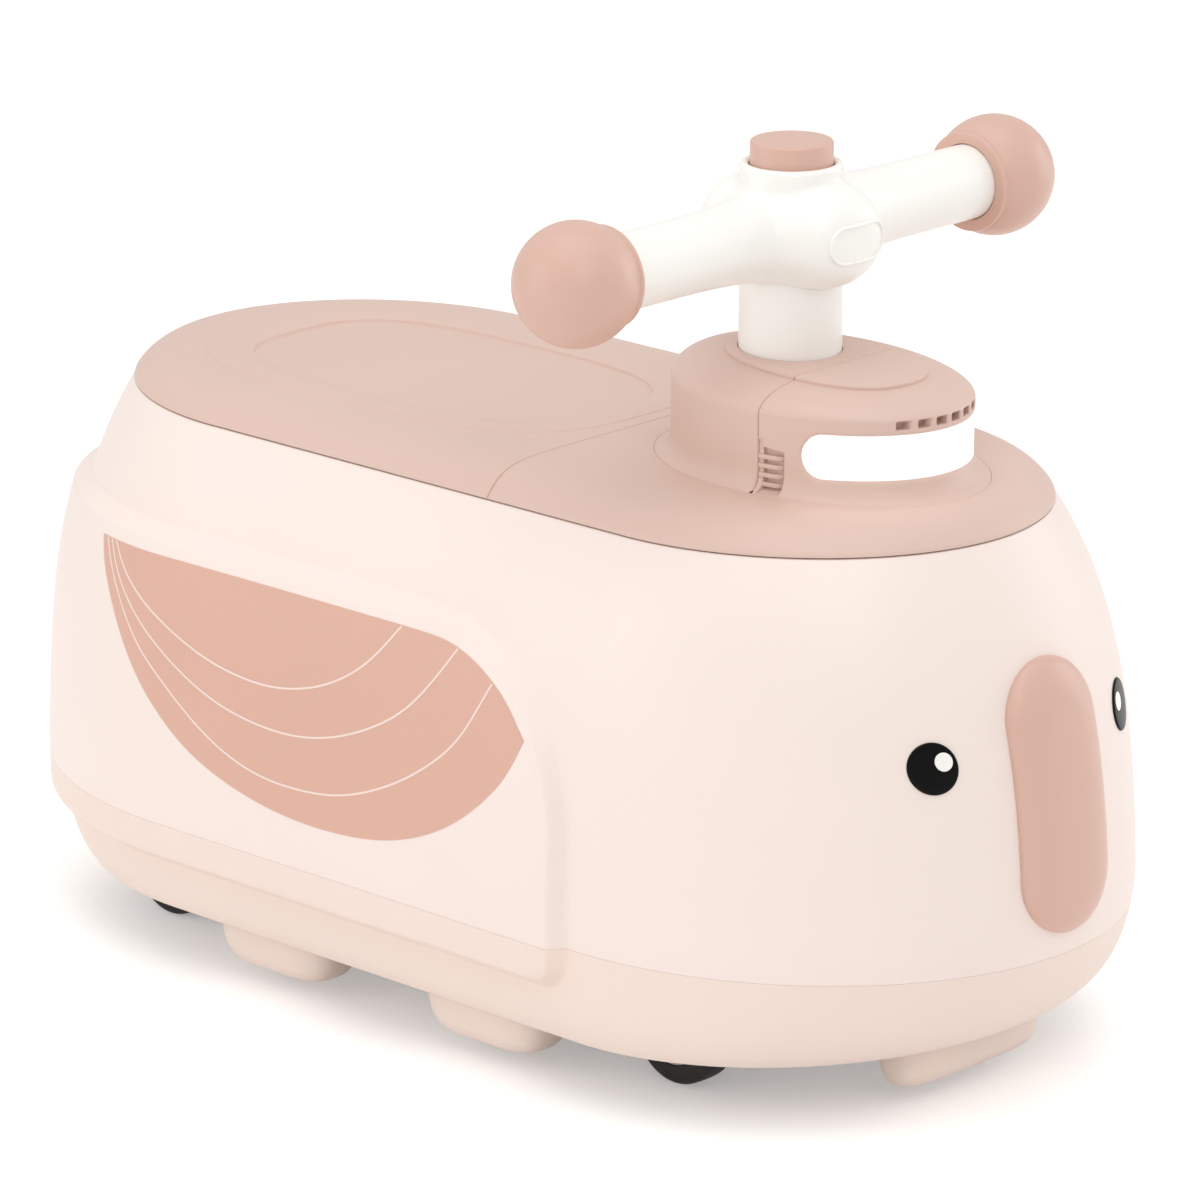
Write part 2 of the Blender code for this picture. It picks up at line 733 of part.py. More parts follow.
def add_wells(chassis):
    """Rooms for the wheels, the saddles of the rear axle and the boss of the steering shaft."""
    turn = math.radians(STEER_DEGREES)
    lead = FRONT_AXLE_AHEAD * math.cos(turn) + (WHEEL_Y + WHEEL_WIDTH / 2) * math.sin(turn)
    front = STEER_X + lead + WHEEL_RADIUS * math.cos(turn) + RUN * 4
    middle = (FLOOR_Z + FLOOR_TOP_Z) / 2
    join(chassis, disc_with_flat("front_well_wall", WELL_RADIUS + WALL, middle, WELL_TOP_Z + WALL,
                                 front + WALL))
    boss = rod("shaft_boss", (STEER_X, 0, WELL_TOP_Z + WALL / 2), (STEER_X, 0, SEAM_Z + WALL),
               BUSH_OUTER + GAP + WALL, steps=ROUND_STEPS)
    join(chassis, boss)
    cut(chassis, disc_with_flat("front_well_room", WELL_RADIUS, 0, WELL_TOP_Z, front))
    cut(chassis, rod("bush_bore", (STEER_X, 0, WELL_TOP_Z - WALL), (STEER_X, 0, SEAM_Z + 2 * WALL),
                     BUSH_OUTER + GAP, steps=ROUND_STEPS))
    inner = WHEEL_Y - WHEEL_WIDTH / 2 - AXLE_END / 2
    outer = AXLE_HALF + AXLE_END / 2
    length = WHEEL_RADIUS + WHEEL_ROOM
    for side in (-1, 1):
        label = "left" if side > 0 else "right"
        low_y, high_y = sorted((side * inner, side * outer))
        join(chassis, block(f"rear_well_wall_{label}", (REAR_AXLE_X - length - WALL, low_y - WALL, middle),
                            (REAR_AXLE_X + length + WALL, high_y + WALL, WELL_TOP_Z + WALL)))
        cut(chassis, block(f"rear_well_room_{label}", (REAR_AXLE_X - length, low_y, 0),
                           (REAR_AXLE_X + length, high_y, WELL_TOP_Z)))
        near, far = sorted((side * (inner - WALL / 2), side * (inner - SADDLE_WIDTH)))
        foot_z = AXLE_Z - AXLE_RADIUS - WALL
        saddle = block(f"saddle_{label}", (REAR_AXLE_X - SADDLE_LENGTH / 2, near, foot_z),
                       (REAR_AXLE_X + SADDLE_LENGTH / 2, far, middle))
        join(chassis, saddle)
    cut(chassis, rod("rear_axle_bore", (REAR_AXLE_X, -AXLE_HALF, AXLE_Z), (REAR_AXLE_X, AXLE_HALF, AXLE_Z),
                     AXLE_RADIUS + GAP))


def make_screws(steel):
    """Pan-head screws driven up through the chassis floor into the shell's posts."""
    head, tip = FLOOR_Z - GAP, FLOOR_Z + SCREW_LENGTH
    profile = [(0, tip), (SCREW_RADIUS, tip), (SCREW_RADIUS, head), (SCREW_HEAD, head),
               (SCREW_HEAD, FLOOR_Z - SCREW_HEAD_HEIGHT), (0, FLOOR_Z - SCREW_HEAD_HEIGHT)]
    for index, x in enumerate(SCREW_X):
        for side, label in ((1, "left"), (-1, "right")):
            turned(f"chassis_screw_{label}_{index + 1}", profile, (x, side * SCREW_Y, 0), steel,
                   steps=SMALL_STEPS)


def top_form(name, inset, drop, foot_z, foot_inset):
    """The crowned top over the whole rim, closed below, drawn in and lowered for its hollow."""
    steps = [CROWN_FLAT_INSET * share ** 2 for share in reversed(shares(CROWN_STEPS))]
    rings = [rim_ring(LID_Z + crown(step) + EDGE_RISE - drop, step + inset) for step in steps]
    if foot_inset > inset:
        rings += [rim_ring(LID_Z, inset), rim_ring(LID_Z, foot_inset)]
    rings.append(rim_ring(foot_z, foot_inset))
    return loft(name, rings)


def half_space(name, low_x, high_x):
    wide = 2 * HALF_WIDTH
    return block(name, (low_x, -wide, RIM_Z - HALF_WIDTH), (high_x, wide, RIM_Z + HALF_WIDTH))


def top_shell(name, plastic, low_x, high_x, thick):
    """One of the two covers on the rim: outer form less its hollow, between two planes."""
    cover = top_form(name, 0.0, 0.0, LID_Z - SKIRT_DEPTH, SKIRT_INSET)
    cover.data.materials.append(plastic)
    hollow = top_form(f"{name}_hollow", SKIRT_INSET + SKIRT_THICK, thick, LID_Z - 3 * SKIRT_DEPTH,
                      SKIRT_INSET + SKIRT_THICK)
    far = HALF_STRAIGHT + NOSE_REACH + TAIL_REACH
    walls = []
    if low_x > -far:
        walls.append(half_space(f"{name}_back_wall", -far, low_x + WALL))
        cut(cover, half_space(f"{name}_back", -far, low_x))
    if high_x < far:
        walls.append(half_space(f"{name}_front_wall", high_x - WALL, far))
        cut(cover, half_space(f"{name}_front", high_x, far))
    cut(hollow, *walls)
    cut(cover, hollow)
    return cover


def make_seat_lid(plastic):
    far = HALF_STRAIGHT + NOSE_REACH + TAIL_REACH
    lid = top_shell("seat_lid", plastic, -far, SPLIT_X - GAP, WALL + DISH_DEPTH)
    floor_z = LID_Z + SHOULDER_HEIGHT + EDGE_RISE
    dish = loft("seat_dish", [
        oval(DISH_X, DISH_HALF_LENGTH, DISH_HALF_WIDTH, floor_z - DISH_DEPTH, DISH_ROUND),
        oval(DISH_X, DISH_HALF_LENGTH + DISH_SLOPE, DISH_HALF_WIDTH + DISH_SLOPE, floor_z + GAP, DISH_ROUND),
    ])
    cut(lid, dish)
    half = MIDDLE_KNUCKLE / 2
    room = KNUCKLE_RADIUS + RUN
    reach = HINGE_X + 2 * KNUCKLE_RADIUS
    width = half + SIDE_KNUCKLE + 2 * RUN
    cut(lid, block("lid_hinge_notch", (HINGE_X - 2 * room, -width, RIM_Z - 2 * SKIRT_DEPTH),
                   (HINGE_X + room, width, HINGE_Z + 3 * room)))
    for side in (-1, 1):
        label = "left" if side > 0 else "right"
        near, far_y = side * (half + RUN), side * (half + RUN + SIDE_KNUCKLE)
        knuckle = rod(f"lid_knuckle_{label}", (HINGE_X, near, HINGE_Z), (HINGE_X, far_y, HINGE_Z),
                      KNUCKLE_RADIUS, steps=ROUND_STEPS)
        low_y, high_y = sorted((near, far_y))
        neck = block(f"lid_neck_{label}", (HINGE_X, low_y, HINGE_Z + NECK_LIFT),
                     (reach, high_y, HINGE_Z + KNUCKLE_RADIUS - NECK_EDGE))
        join(lid, knuckle, neck)
    cut(lid, rod("lid_pin_bore", (HINGE_X, -width, HINGE_Z), (HINGE_X, width, HINGE_Z), PIN_RADIUS + GAP))
    return lid


def make_hinge_pin(steel):
    half = MIDDLE_KNUCKLE / 2 + RUN + SIDE_KNUCKLE
    return rod("lid_hinge_pin", (HINGE_X, -half, HINGE_Z), (HINGE_X, half, HINGE_Z), PIN_RADIUS, steel)


def make_front_cover(plastic):
    far = HALF_STRAIGHT + NOSE_REACH + TAIL_REACH
    cover = top_shell("front_cover", plastic, SPLIT_X + GAP, far, WALL)
    under = RECESS_FLOOR_Z - RECESS_FLOOR_THICK
    top = LID_Z + SHOULDER_HEIGHT
    tray = loft("recess_wall", [
        oval(HOUSE_X, FLARE_HALF_LENGTH + GAP + WALL, FLARE_HALF_WIDTH + GAP + WALL, under),
        oval(HOUSE_X, FLARE_HALF_LENGTH + GAP + WALL, FLARE_HALF_WIDTH + GAP + WALL, top - WALL / 2),
    ])
    join(cover, tray)
    recess = loft("recess_room", [
        oval(HOUSE_X, FLARE_HALF_LENGTH + GAP, FLARE_HALF_WIDTH + GAP, RECESS_FLOOR_Z),
        oval(HOUSE_X, FLARE_HALF_LENGTH + GAP, FLARE_HALF_WIDTH + GAP, top + 2 * WALL),
    ])
    cut(cover, recess)
    cut(cover, rod("column_opening", (STEER_X, 0, under - WALL), (STEER_X, 0, RECESS_FLOOR_Z + WALL),
                   SHAFT_RADIUS + 2 * RUN, steps=ROUND_STEPS))
    return cover


def house_rings(inset, drop, foot_z, flared, dome_steps):
    """Rings of the steering housing: flared foot, upright wall and a dome that leans forward."""
    rings = []
    edge_z = RECESS_FLOOR_Z + GAP + WALL + FLARE_EDGE
    if flared:
        rings.append(oval(HOUSE_X, FLARE_HALF_LENGTH, FLARE_HALF_WIDTH, foot_z))
        for share in shares(3):
            angle = share * math.pi / 2
            along = math.sin(angle)
            rings.append(oval(HOUSE_X,
                              FLARE_HALF_LENGTH + (HOUSE_HALF_LENGTH - FLARE_HALF_LENGTH) * along,
                              FLARE_HALF_WIDTH + (HOUSE_HALF_WIDTH - FLARE_HALF_WIDTH) * along,
                              edge_z + FLARE_HEIGHT * (1 - math.cos(angle))))
    else:
        rings.append(oval(HOUSE_X, HOUSE_HALF_LENGTH - inset, HOUSE_HALF_WIDTH - inset, foot_z))
    for share in shares(dome_steps):
        angle = share * math.pi / 2
        shrink = inset + HOUSE_DOME_REACH * (1 - math.cos(angle))
        rise = math.sin(angle)

        def height(x, rise=rise):
            lean = HOUSE_LEAN * (x - HOUSE_X + HOUSE_HALF_LENGTH) / (2 * HOUSE_HALF_LENGTH)
            return HOUSE_SHOULDER_Z - drop + (HOUSE_DOME - lean) * rise
        rings.append(oval(HOUSE_X, HOUSE_HALF_LENGTH - shrink, HOUSE_HALF_WIDTH - shrink, height))
    return rings


def house_top(x, above=0.0):
    lean = HOUSE_LEAN * (x - HOUSE_X + HOUSE_HALF_LENGTH) / (2 * HOUSE_HALF_LENGTH)
    return HOUSE_SHOULDER_Z + HOUSE_DOME - lean + above


def make_housing_half(name, plastic, low_x, high_x):
    """Half of the steering housing, open below and towards the other half."""
    foot_z = RECESS_FLOOR_Z + GAP
    half = loft(name, house_rings(0.0, 0.0, foot_z, True, 5), plastic)
    leaf_layers = ((0.0, -WALL / 2), (0.0, LEAF_PROUD - LEAF_EDGE), (LEAF_EDGE, LEAF_PROUD))
    leaf = loft(f"{name}_leaf", [
        oval(LEAF_X, LEAF_HALF_LENGTH - inset, LEAF_HALF_WIDTH - inset,
             lambda x, above=above: house_top(x, above), LEAF_ROUND) for inset, above in leaf_layers])
    join(half, leaf)
    cut(half, loft(f"{name}_room", house_rings(WALL, WALL, foot_z - WALL, False, 3)))
    bush_outer = COLUMN_RADIUS + GAP + BUSH_THICK
    if low_x < STEER_X:
        collar_foot = BUSH_TOP_Z - BUSH_HEIGHT
        clear_z = HOUSE_SHOULDER_Z + 3 * HOUSE_DOME
        reach = bush_outer + GAP + COLLAR_THICK
        join(half, loft("bush_collar", [
            oval(STEER_X, reach, reach, collar_foot, steps=TURN_STEPS),
            oval(STEER_X, reach, reach, lambda x: house_top(x, -WALL / 2), steps=TURN_STEPS),
        ]))
        cut(half, rod("bush_room", (STEER_X, 0, collar_foot - WALL), (STEER_X, 0, BUSH_TOP_Z + GAP),
                      bush_outer + GAP, steps=TURN_STEPS))
        cut(half, rod("column_room", (STEER_X, 0, collar_foot), (STEER_X, 0, clear_z), COLUMN_RADIUS + RUN,
                      steps=TURN_STEPS))
    far = 4 * HOUSE_HALF_LENGTH
    if high_x < far:
        cut(half, block(f"{name}_ahead", (high_x, -far, 0), (far, far, 2 * HOUSE_SHOULDER_Z)))
    if low_x > -far:
        cut(half, block(f"{name}_behind", (-far, -far, 0), (low_x, far, 2 * HOUSE_SHOULDER_Z)))
    return half


def across_front(reach):
    """Distance off the toy's middle plane at a length measured round the housing's front."""
    steps = 400
    turn = math.pi / 2 / steps
    travelled = 0.0
    for i in range(steps):
        angle = turn * (i + 0.5)
        here = math.hypot(HOUSE_HALF_LENGTH * math.sin(angle), HOUSE_HALF_WIDTH * math.cos(angle)) * turn
        if travelled + here > reach:
            return HOUSE_HALF_WIDTH * math.sin(turn * (i + (reach - travelled) / here))
        travelled += here
    return HOUSE_HALF_WIDTH


def band(name, grow, low_x, high_x):
    """The lamp's window, a lying stadium drawn round the wall and pushed along the toy's length."""
    radius = LAMP_HEIGHT / 2 + grow
    straight = LAMP_REACH + grow - radius
    outline = []
    for share in shares(SMALL_STEPS):
        angle = math.pi * (share - 0.5)
        outline.append((across_front(straight + radius * math.cos(angle)), radius * math.sin(angle)))
    outline += [(-y, -z) for y, z in outline]
    return loft(name, [[(x, y, LAMP_Z + z) for y, z in outline] for x in (low_x, high_x)])


def make_housing_front(plastic):
    far = 4 * HOUSE_HALF_LENGTH
    front = make_housing_half("housing_front", plastic, HOUSE_SPLIT_X + GAP, far)
    beyond = HOUSE_X + 2 * HOUSE_HALF_LENGTH
    cut(front, band("lamp_window", GAP, HOUSE_SPLIT_X + WALL, beyond))
    middle = HOUSE_X + HOUSE_HALF_LENGTH / 2
    for index in range(SLOT_COUNT):
        y = (index - (SLOT_COUNT - 1) / 2) * SLOT_PITCH
        cut(front, block(f"slot_{index}", (middle, y - SLOT_WIDTH / 2, SLOT_Z - SLOT_HEIGHT / 2),
                         (beyond, y + SLOT_WIDTH / 2, SLOT_Z + SLOT_HEIGHT / 2)))
    start = HOUSE_SPLIT_X + LOUVRE_SETBACK
    for index in range(LOUVRE_COUNT):
        z = LOUVRE_Z + (index - (LOUVRE_COUNT - 1) / 2) * LOUVRE_PITCH
        cut(front, block(f"louvre_{index}", (start, -2 * HOUSE_HALF_WIDTH, z - LOUVRE_GAP / 2),
                         (start + LOUVRE_LENGTH, 2 * HOUSE_HALF_WIDTH, z + LOUVRE_GAP / 2)))
    return front


def make_lens(clear):
    low, high = LAMP_Z - LAMP_HEIGHT, LAMP_Z + LAMP_HEIGHT
    skin = [(0.0, low), (0.0, high), (LENS_THICK, high), (LENS_THICK, low)]
    lens = loft("lamp_lens", [oval(HOUSE_X, HOUSE_HALF_LENGTH - inset, HOUSE_HALF_WIDTH - inset, z)
                              for inset, z in skin], clear, closed=True)
    combine(lens, band("lens_outline", 0.0, HOUSE_X, HOUSE_X + 2 * HOUSE_HALF_LENGTH), "INTERSECT")
    return lens


def make_inside_housing(dark, steel, board_green, brass):
    """Battery tray with its cells and lid, the speaker, the lamp board and the column's bush."""
    base = RECESS_FLOOR_Z + GAP
    half_x = 2 * CELL_RADIUS + GAP
    half_y = CELL_LENGTH / 2 + GAP
    wall_z = base + TRAY_WALL + 2 * CELL_RADIUS + 2 * GAP
    tray = block("battery_tray", (CELL_X - half_x - TRAY_WALL, -half_y - TRAY_WALL, base),
                 (CELL_X + half_x + TRAY_WALL, half_y + TRAY_WALL, wall_z), dark)
    cut(tray, block("tray_room", (CELL_X - half_x, -half_y, base + TRAY_WALL),
                    (CELL_X + half_x, half_y, wall_z + WALL)))
    for index, side in enumerate((-1, 1)):
        x, z = CELL_X + side * (CELL_RADIUS + GAP / 2), base + TRAY_WALL + GAP + CELL_RADIUS
        rod(f"battery_{index + 1}", (x, -CELL_LENGTH / 2, z), (x, CELL_LENGTH / 2, z), CELL_RADIUS, steel,
            steps=SHAFT_STEPS)
    lid_z = wall_z + GAP
    block("battery_door", (CELL_X - half_x - TRAY_WALL, -half_y - TRAY_WALL, lid_z),
          (CELL_X + half_x + TRAY_WALL, half_y + TRAY_WALL, lid_z + TRAY_WALL), dark)
    seat = lid_z + TRAY_WALL + GAP
    turned("speaker", [(0, CONE_Z), (DUST_CAP_RADIUS, CONE_Z), (SPEAKER_RADIUS - WALL, SPEAKER_HEIGHT),
                       (SPEAKER_RADIUS, SPEAKER_HEIGHT), (SPEAKER_RADIUS, SPEAKER_HEIGHT - WALL),
                       (MAGNET_RADIUS, MAGNET_HEIGHT), (MAGNET_RADIUS, 0), (0, 0)],
           (CELL_X + WALL, 0, seat), dark, steps=ROUND_STEPS)
    board = block("lamp_board", (BOARD_X - BOARD_THICK, -BOARD_HALF_WIDTH, base),
                  (BOARD_X, BOARD_HALF_WIDTH, base + BOARD_HEIGHT), board_green)
    for index in (-1, 0, 1):
        y = index * LED_PITCH
        join(board, rod(f"led_{index + 1}", (BOARD_X - BOARD_THICK / 2, y, LAMP_Z),
                        (BOARD_X + LED_RADIUS, y, LAMP_Z), LED_RADIUS))
    inner = COLUMN_RADIUS + GAP
    top = BUSH_TOP_Z
    foot_z = top - BUSH_HEIGHT + GAP
    outer = inner + BUSH_THICK
    turned("column_bush", [(outer, top), (outer, foot_z), (inner, foot_z), (inner, top)], (STEER_X, 0, 0),
           brass, bored=True)


def make_tub(plastic):
    """The storage tub: tapered walls under a flange that lies on the shell's ledge."""
    top = LEDGE_Z + GAP + FLANGE_THICK
    centre = (TUB_FRONT_X + TUB_BACK_X) / 2
    half = (TUB_FRONT_X - TUB_BACK_X) / 2
    flange = loft("storage_tub", [rim_ring(LEDGE_Z + GAP, FLANGE_INSET), rim_ring(top, FLANGE_INSET)],
                  plastic)
    cut(flange, half_space("tub_flange_front", SPLIT_X - WALL, 4 * HALF_WIDTH))
    room = KNUCKLE_RADIUS + 2 * RUN
    width = MIDDLE_KNUCKLE / 2 + SIDE_KNUCKLE + 4 * RUN
    cut(flange, block("tub_hinge_notch", (HINGE_X - 2 * room, -width, LEDGE_Z - WALL),
                      (HINGE_X + room, width, RIM_Z + WALL)))

    def section(grow, taper, z):
        return oval(centre, half - taper + grow, TUB_HALF_WIDTH - taper + grow, z, TUB_ROUND, TUB_STEPS)
    join(flange, loft("tub_outside", [section(TUB_WALL, TUB_TAPER, TUB_FLOOR_Z),
                                      section(TUB_WALL, 0, top - FLANGE_THICK / 2)]))
    cut(flange, loft("tub_inside", [section(0, TUB_TAPER, TUB_FLOOR_Z + TUB_WALL),
                                    section(0, 0, top + WALL)]))
    return flange


def hub_reach(share):
    """Reach of the hub's end along the toy at a share of its half width and height."""
    return HUB_HALF_LENGTH * (1 - share ** HUB_ROUND) ** (1 / HUB_ROUND)


def hub_barrel():
    """The rounded barrel that crosses the bars along the toy."""
    stations = [(-hub_reach(share), share) for share in HUB_STATIONS] + [(0.0, 1.0)]
    stations += [(hub_reach(share), share) for share in reversed(HUB_STATIONS)]
    rings = []
    for x, share in stations:
        ring = oval(0, HUB_HALF_WIDTH * share, HUB_HALF_HEIGHT * share, 0, steps=TURN_STEPS)
        rings.append([(STEER_X + x, across, BAR_Z + up) for across, up, _ in ring])
    return loft("hub_barrel", rings)


def make_handlebar(white):
    """Hub, the two bars and the button's collar as one moulding along Y."""
    half = GRIP_COLLAR_Y + GRIP_BORE_DEPTH - GAP
    profile = [(0, half)]
    for share in shares(BAR_STEPS):
        y = half * math.copysign(abs(1 - 2 * share) ** BAR_CROWDING, 1 - 2 * share)
        profile.append((BAR_RADIUS + BAR_FLARE * math.exp(-(y / BAR_FLARE_SPREAD) ** 2), y))
    profile.append((0, -half))
    bar = turned("handlebar", profile, (STEER_X, 0, BAR_Z), white, along_y=True)
    join(bar, hub_barrel())
    foot_z = BAR_Z - WALL
    collar = turned("hub_collar", [(0, COLLAR_TOP_Z), (COLLAR_RADIUS - COLLAR_EDGE, COLLAR_TOP_Z),
                                   (COLLAR_RADIUS, COLLAR_TOP_Z - COLLAR_EDGE), (COLLAR_RADIUS, foot_z),
                                   (0, foot_z)], (STEER_X, 0, 0))
    join(bar, collar)
    cut(bar, rod("button_well", (STEER_X, 0, WELL_FLOOR_Z), (STEER_X, 0, COLLAR_TOP_Z + WALL),
                 BUTTON_RADIUS + RUN, steps=TURN_STEPS))
    socket_z = BAR_Z - HUB_HALF_HEIGHT + SOCKET_DEPTH
    cut(bar, rod("column_socket", (STEER_X, 0, BAR_Z - 2 * HUB_HALF_HEIGHT), (STEER_X, 0, socket_z),
                 COLUMN_RADIUS + GAP, steps=TURN_STEPS))
    cut(bar, rod("hub_shaft_bore", (STEER_X, 0, BAR_Z - HUB_HALF_HEIGHT), (STEER_X, 0, SHAFT_TOP_Z + GAP),
                 SHAFT_RADIUS + GAP, steps=SHAFT_STEPS))
    return bar


def make_badge(white):
    """A bare raised plate on the hub's front."""
    radius = PLATE_HEIGHT / 2
    straight = PLATE_LENGTH / 2 - radius
    outline = []
    for share in shares(PLATE_STEPS):
        angle = math.pi * (share - 0.5)
        outline.append((straight + radius * math.cos(angle), radius * math.sin(angle)))
    outline += [(straight * (1 - 2 * share), radius) for share in shares(4)[1:-1]]
    outline += [(-y, -z) for y, z in outline]

    def front_x(y, z):
        return STEER_X + hub_reach(math.hypot(y / HUB_HALF_WIDTH, z / HUB_HALF_HEIGHT))
    scales = shares(4)[1:]
    layers = [(scale, GAP) for scale in scales] + [(scale, PLATE_PROUD) for scale in reversed(scales)]
    rings = []
    for scale, proud in layers:
        shrunk = [(y * scale, z * scale) for y, z in outline]
        rings.append([(front_x(y, z) + proud, y, BAR_Z + z) for y, z in shrunk])
    return loft("hub_plate", rings, white)


def make_column(white):
    top = BAR_Z - HUB_HALF_HEIGHT + SOCKET_DEPTH - GAP
    inner = COLUMN_RADIUS - COLUMN_WALL
    bore = SHAFT_RADIUS + GAP
    web_z = COLUMN_FOOT_Z + COLUMN_WEB
    profile = [(COLUMN_RADIUS, top), (COLUMN_RADIUS, COLUMN_FOOT_Z), (bore, COLUMN_FOOT_Z), (bore, web_z),
               (inner, web_z), (inner, top)]
    return turned("steering_column", profile, (STEER_X, 0, 0), white, bored=True)


def make_grip(side, pink):
    """A ball with a collar round the bar's end, bored for the bar."""
    label = "left" if side > 0 else "right"
    bore = BAR_RADIUS + BAR_FLARE * math.exp(-(GRIP_COLLAR_Y / BAR_FLARE_SPREAD) ** 2) + GAP
    waist_y = GRIP_Y - math.sqrt(GRIP_RADIUS ** 2 - (GRIP_COLLAR_RADIUS - GRIP_EDGE) ** 2)
    start = math.acos((waist_y - GRIP_Y) / GRIP_RADIUS)
    ball = []
    for share in shares(GRIP_STEPS):
        angle = start * share
        ball.append((GRIP_RADIUS * math.sin(angle), GRIP_Y + GRIP_RADIUS * math.cos(angle)))
    ball[0] = (0, GRIP_Y + GRIP_RADIUS)
    collar = [(GRIP_COLLAR_RADIUS, waist_y - GRIP_EDGE), (GRIP_COLLAR_RADIUS, GRIP_COLLAR_Y + GRIP_EDGE),
              (GRIP_COLLAR_RADIUS - GRIP_EDGE, GRIP_COLLAR_Y)]
    bore_end = GRIP_COLLAR_Y + GRIP_BORE_DEPTH
    profile = ball + collar + [(bore, GRIP_COLLAR_Y), (bore, bore_end), (0, bore_end)]
    grip = turned(f"grip_{label}", profile, (STEER_X, 0, BAR_Z), pink, along_y=True, steps=TURN_STEPS)
    if side < 0:
        grip.rotation_euler = (math.radians(90), 0, 0)
    return grip


def make_button(pink):
    top, edge, radius = BUTTON_TOP_Z, BUTTON_EDGE, BUTTON_RADIUS
    foot_z = STEM_Z + BUTTON_TRAVEL + GAP
    inner = radius - BUTTON_WALL
    stem = BUTTON_STEM
    ceiling = top - BUTTON_CEILING
    round_in = edge * (1 - math.sqrt(0.5))
    profile = [(0, top), (radius - edge, top), (radius - round_in, top - round_in), (radius, top - edge),
               (radius, foot_z), (inner, foot_z), (inner, ceiling), (stem, ceiling), (stem, foot_z),
               (0, foot_z)]
    return turned("horn_button", profile, (STEER_X, 0, 0), pink)


def make_switch(board_green, steel):
    """Switch board on the floor of the button's well, and the spring round its stem."""
    face = SWITCH_Z + SWITCH_THICK
    edge = BUTTON_RADIUS - SWITCH_EDGE
    profile = [(0, STEM_Z), (STEM_RADIUS, STEM_Z), (STEM_RADIUS, face), (edge, face), (edge, SWITCH_Z),
               (0, SWITCH_Z)]
    turned("horn_switch", profile, (STEER_X, 0, 0), board_green, steps=ROUND_STEPS)
    low = face + GAP + SPRING_WIRE
    high = BUTTON_TOP_Z - BUTTON_CEILING - GAP - SPRING_WIRE
    count = 9 * SPRING_TURNS
    curve = bpy.data.curves.new("horn_spring", "CURVE")
    curve.dimensions = "3D"
    curve.bevel_depth = SPRING_WIRE
    curve.bevel_resolution = 0
    curve.use_fill_caps = True
    line = curve.splines.new("POLY")
    line.points.add(count)
    for i in range(count + 1):
        angle = 2 * math.pi * SPRING_TURNS * i / count
        line.points[i].co = (STEER_X + SPRING_RADIUS * math.cos(angle), SPRING_RADIUS * math.sin(angle),
                             low + (high - low) * i / count, 1)
    spring = bpy.data.objects.new("horn_spring", curve)
    TOY.objects.link(spring)
    curve.materials.append(steel)
    return spring


def make_shaft(steel):
    return rod("steering_shaft", (STEER_X, 0, SHAFT_FOOT_Z), (STEER_X, 0, SHAFT_TOP_Z), SHAFT_RADIUS, steel,
               steps=SHAFT_STEPS)


def make_carrier(dark, steel, brass):
    """Front axle carrier under the chassis, its bush above and its nut below."""
    flange_z = WELL_TOP_Z - GAP - BUSH_FLANGE
    boss_top = flange_z - GAP
    low, high = AXLE_Z - CARRIER_HEIGHT / 2, AXLE_Z + CARRIER_HEIGHT / 2
    reach = WHEEL_Y - WHEEL_WIDTH / 2 - AXLE_END / 2
    carrier = block("front_axle_carrier", (FRONT_AXLE_X - CARRIER_HEIGHT / 2, -reach, low),
                    (FRONT_AXLE_X + CARRIER_HEIGHT / 2, reach, high), dark)
    join(carrier, rod("carrier_boss", (STEER_X, 0, low), (STEER_X, 0, boss_top), CARRIER_BOSS,
                      steps=TURN_STEPS))
    cut(carrier, rod("carrier_axle_bore", (FRONT_AXLE_X, -2 * reach, AXLE_Z),
                     (FRONT_AXLE_X, 2 * reach, AXLE_Z), AXLE_RADIUS + GAP))
    cut(carrier, rod("carrier_shaft_bore", (STEER_X, 0, 0), (STEER_X, 0, boss_top + WALL),
                     SHAFT_RADIUS + GAP, steps=SHAFT_STEPS))
    nut_top = low - GAP
    nut = rod("shaft_nut", (STEER_X, 0, SHAFT_FOOT_Z + GAP), (STEER_X, 0, nut_top), NUT_RADIUS, steel,
              steps=NUT_SIDES)
    cut(nut, rod("nut_bore", (STEER_X, 0, 0), (STEER_X, 0, low + WALL), SHAFT_RADIUS + GAP,
                 steps=SHAFT_STEPS))
    top = SEAM_Z + WALL
    inner = SHAFT_RADIUS + RUN
    turned("steering_bush", [(BUSH_OUTER, top), (BUSH_OUTER, flange_z + BUSH_FLANGE),
                             (BUSH_OUTER + WALL, flange_z + BUSH_FLANGE), (BUSH_OUTER + WALL, flange_z),
                             (inner, flange_z), (inner, top)], (STEER_X, 0, 0), brass, bored=True)
    return carrier


def make_axle(end, x, steel):
    """A plain axle with a push-on cap outside each wheel."""
    rod(f"{end}_axle", (x, -AXLE_HALF, AXLE_Z), (x, AXLE_HALF, AXLE_Z), AXLE_RADIUS, steel)
    inner = AXLE_RADIUS + GAP
    start = WHEEL_WIDTH / 2 + GAP
    ring = [(CAP_RADIUS, start + CAP_THICK), (CAP_RADIUS, start), (inner, start), (inner, start + CAP_THICK)]
    for side, label in ((1, "left"), (-1, "right")):
        cap = turned(f"{end}_{label}_axle_cap", ring, (x, side * WHEEL_Y, AXLE_Z), steel, along_y=True,
                     steps=SMALL_STEPS, bored=True)
        if side < 0:
            cap.rotation_euler = (math.radians(90), 0, 0)


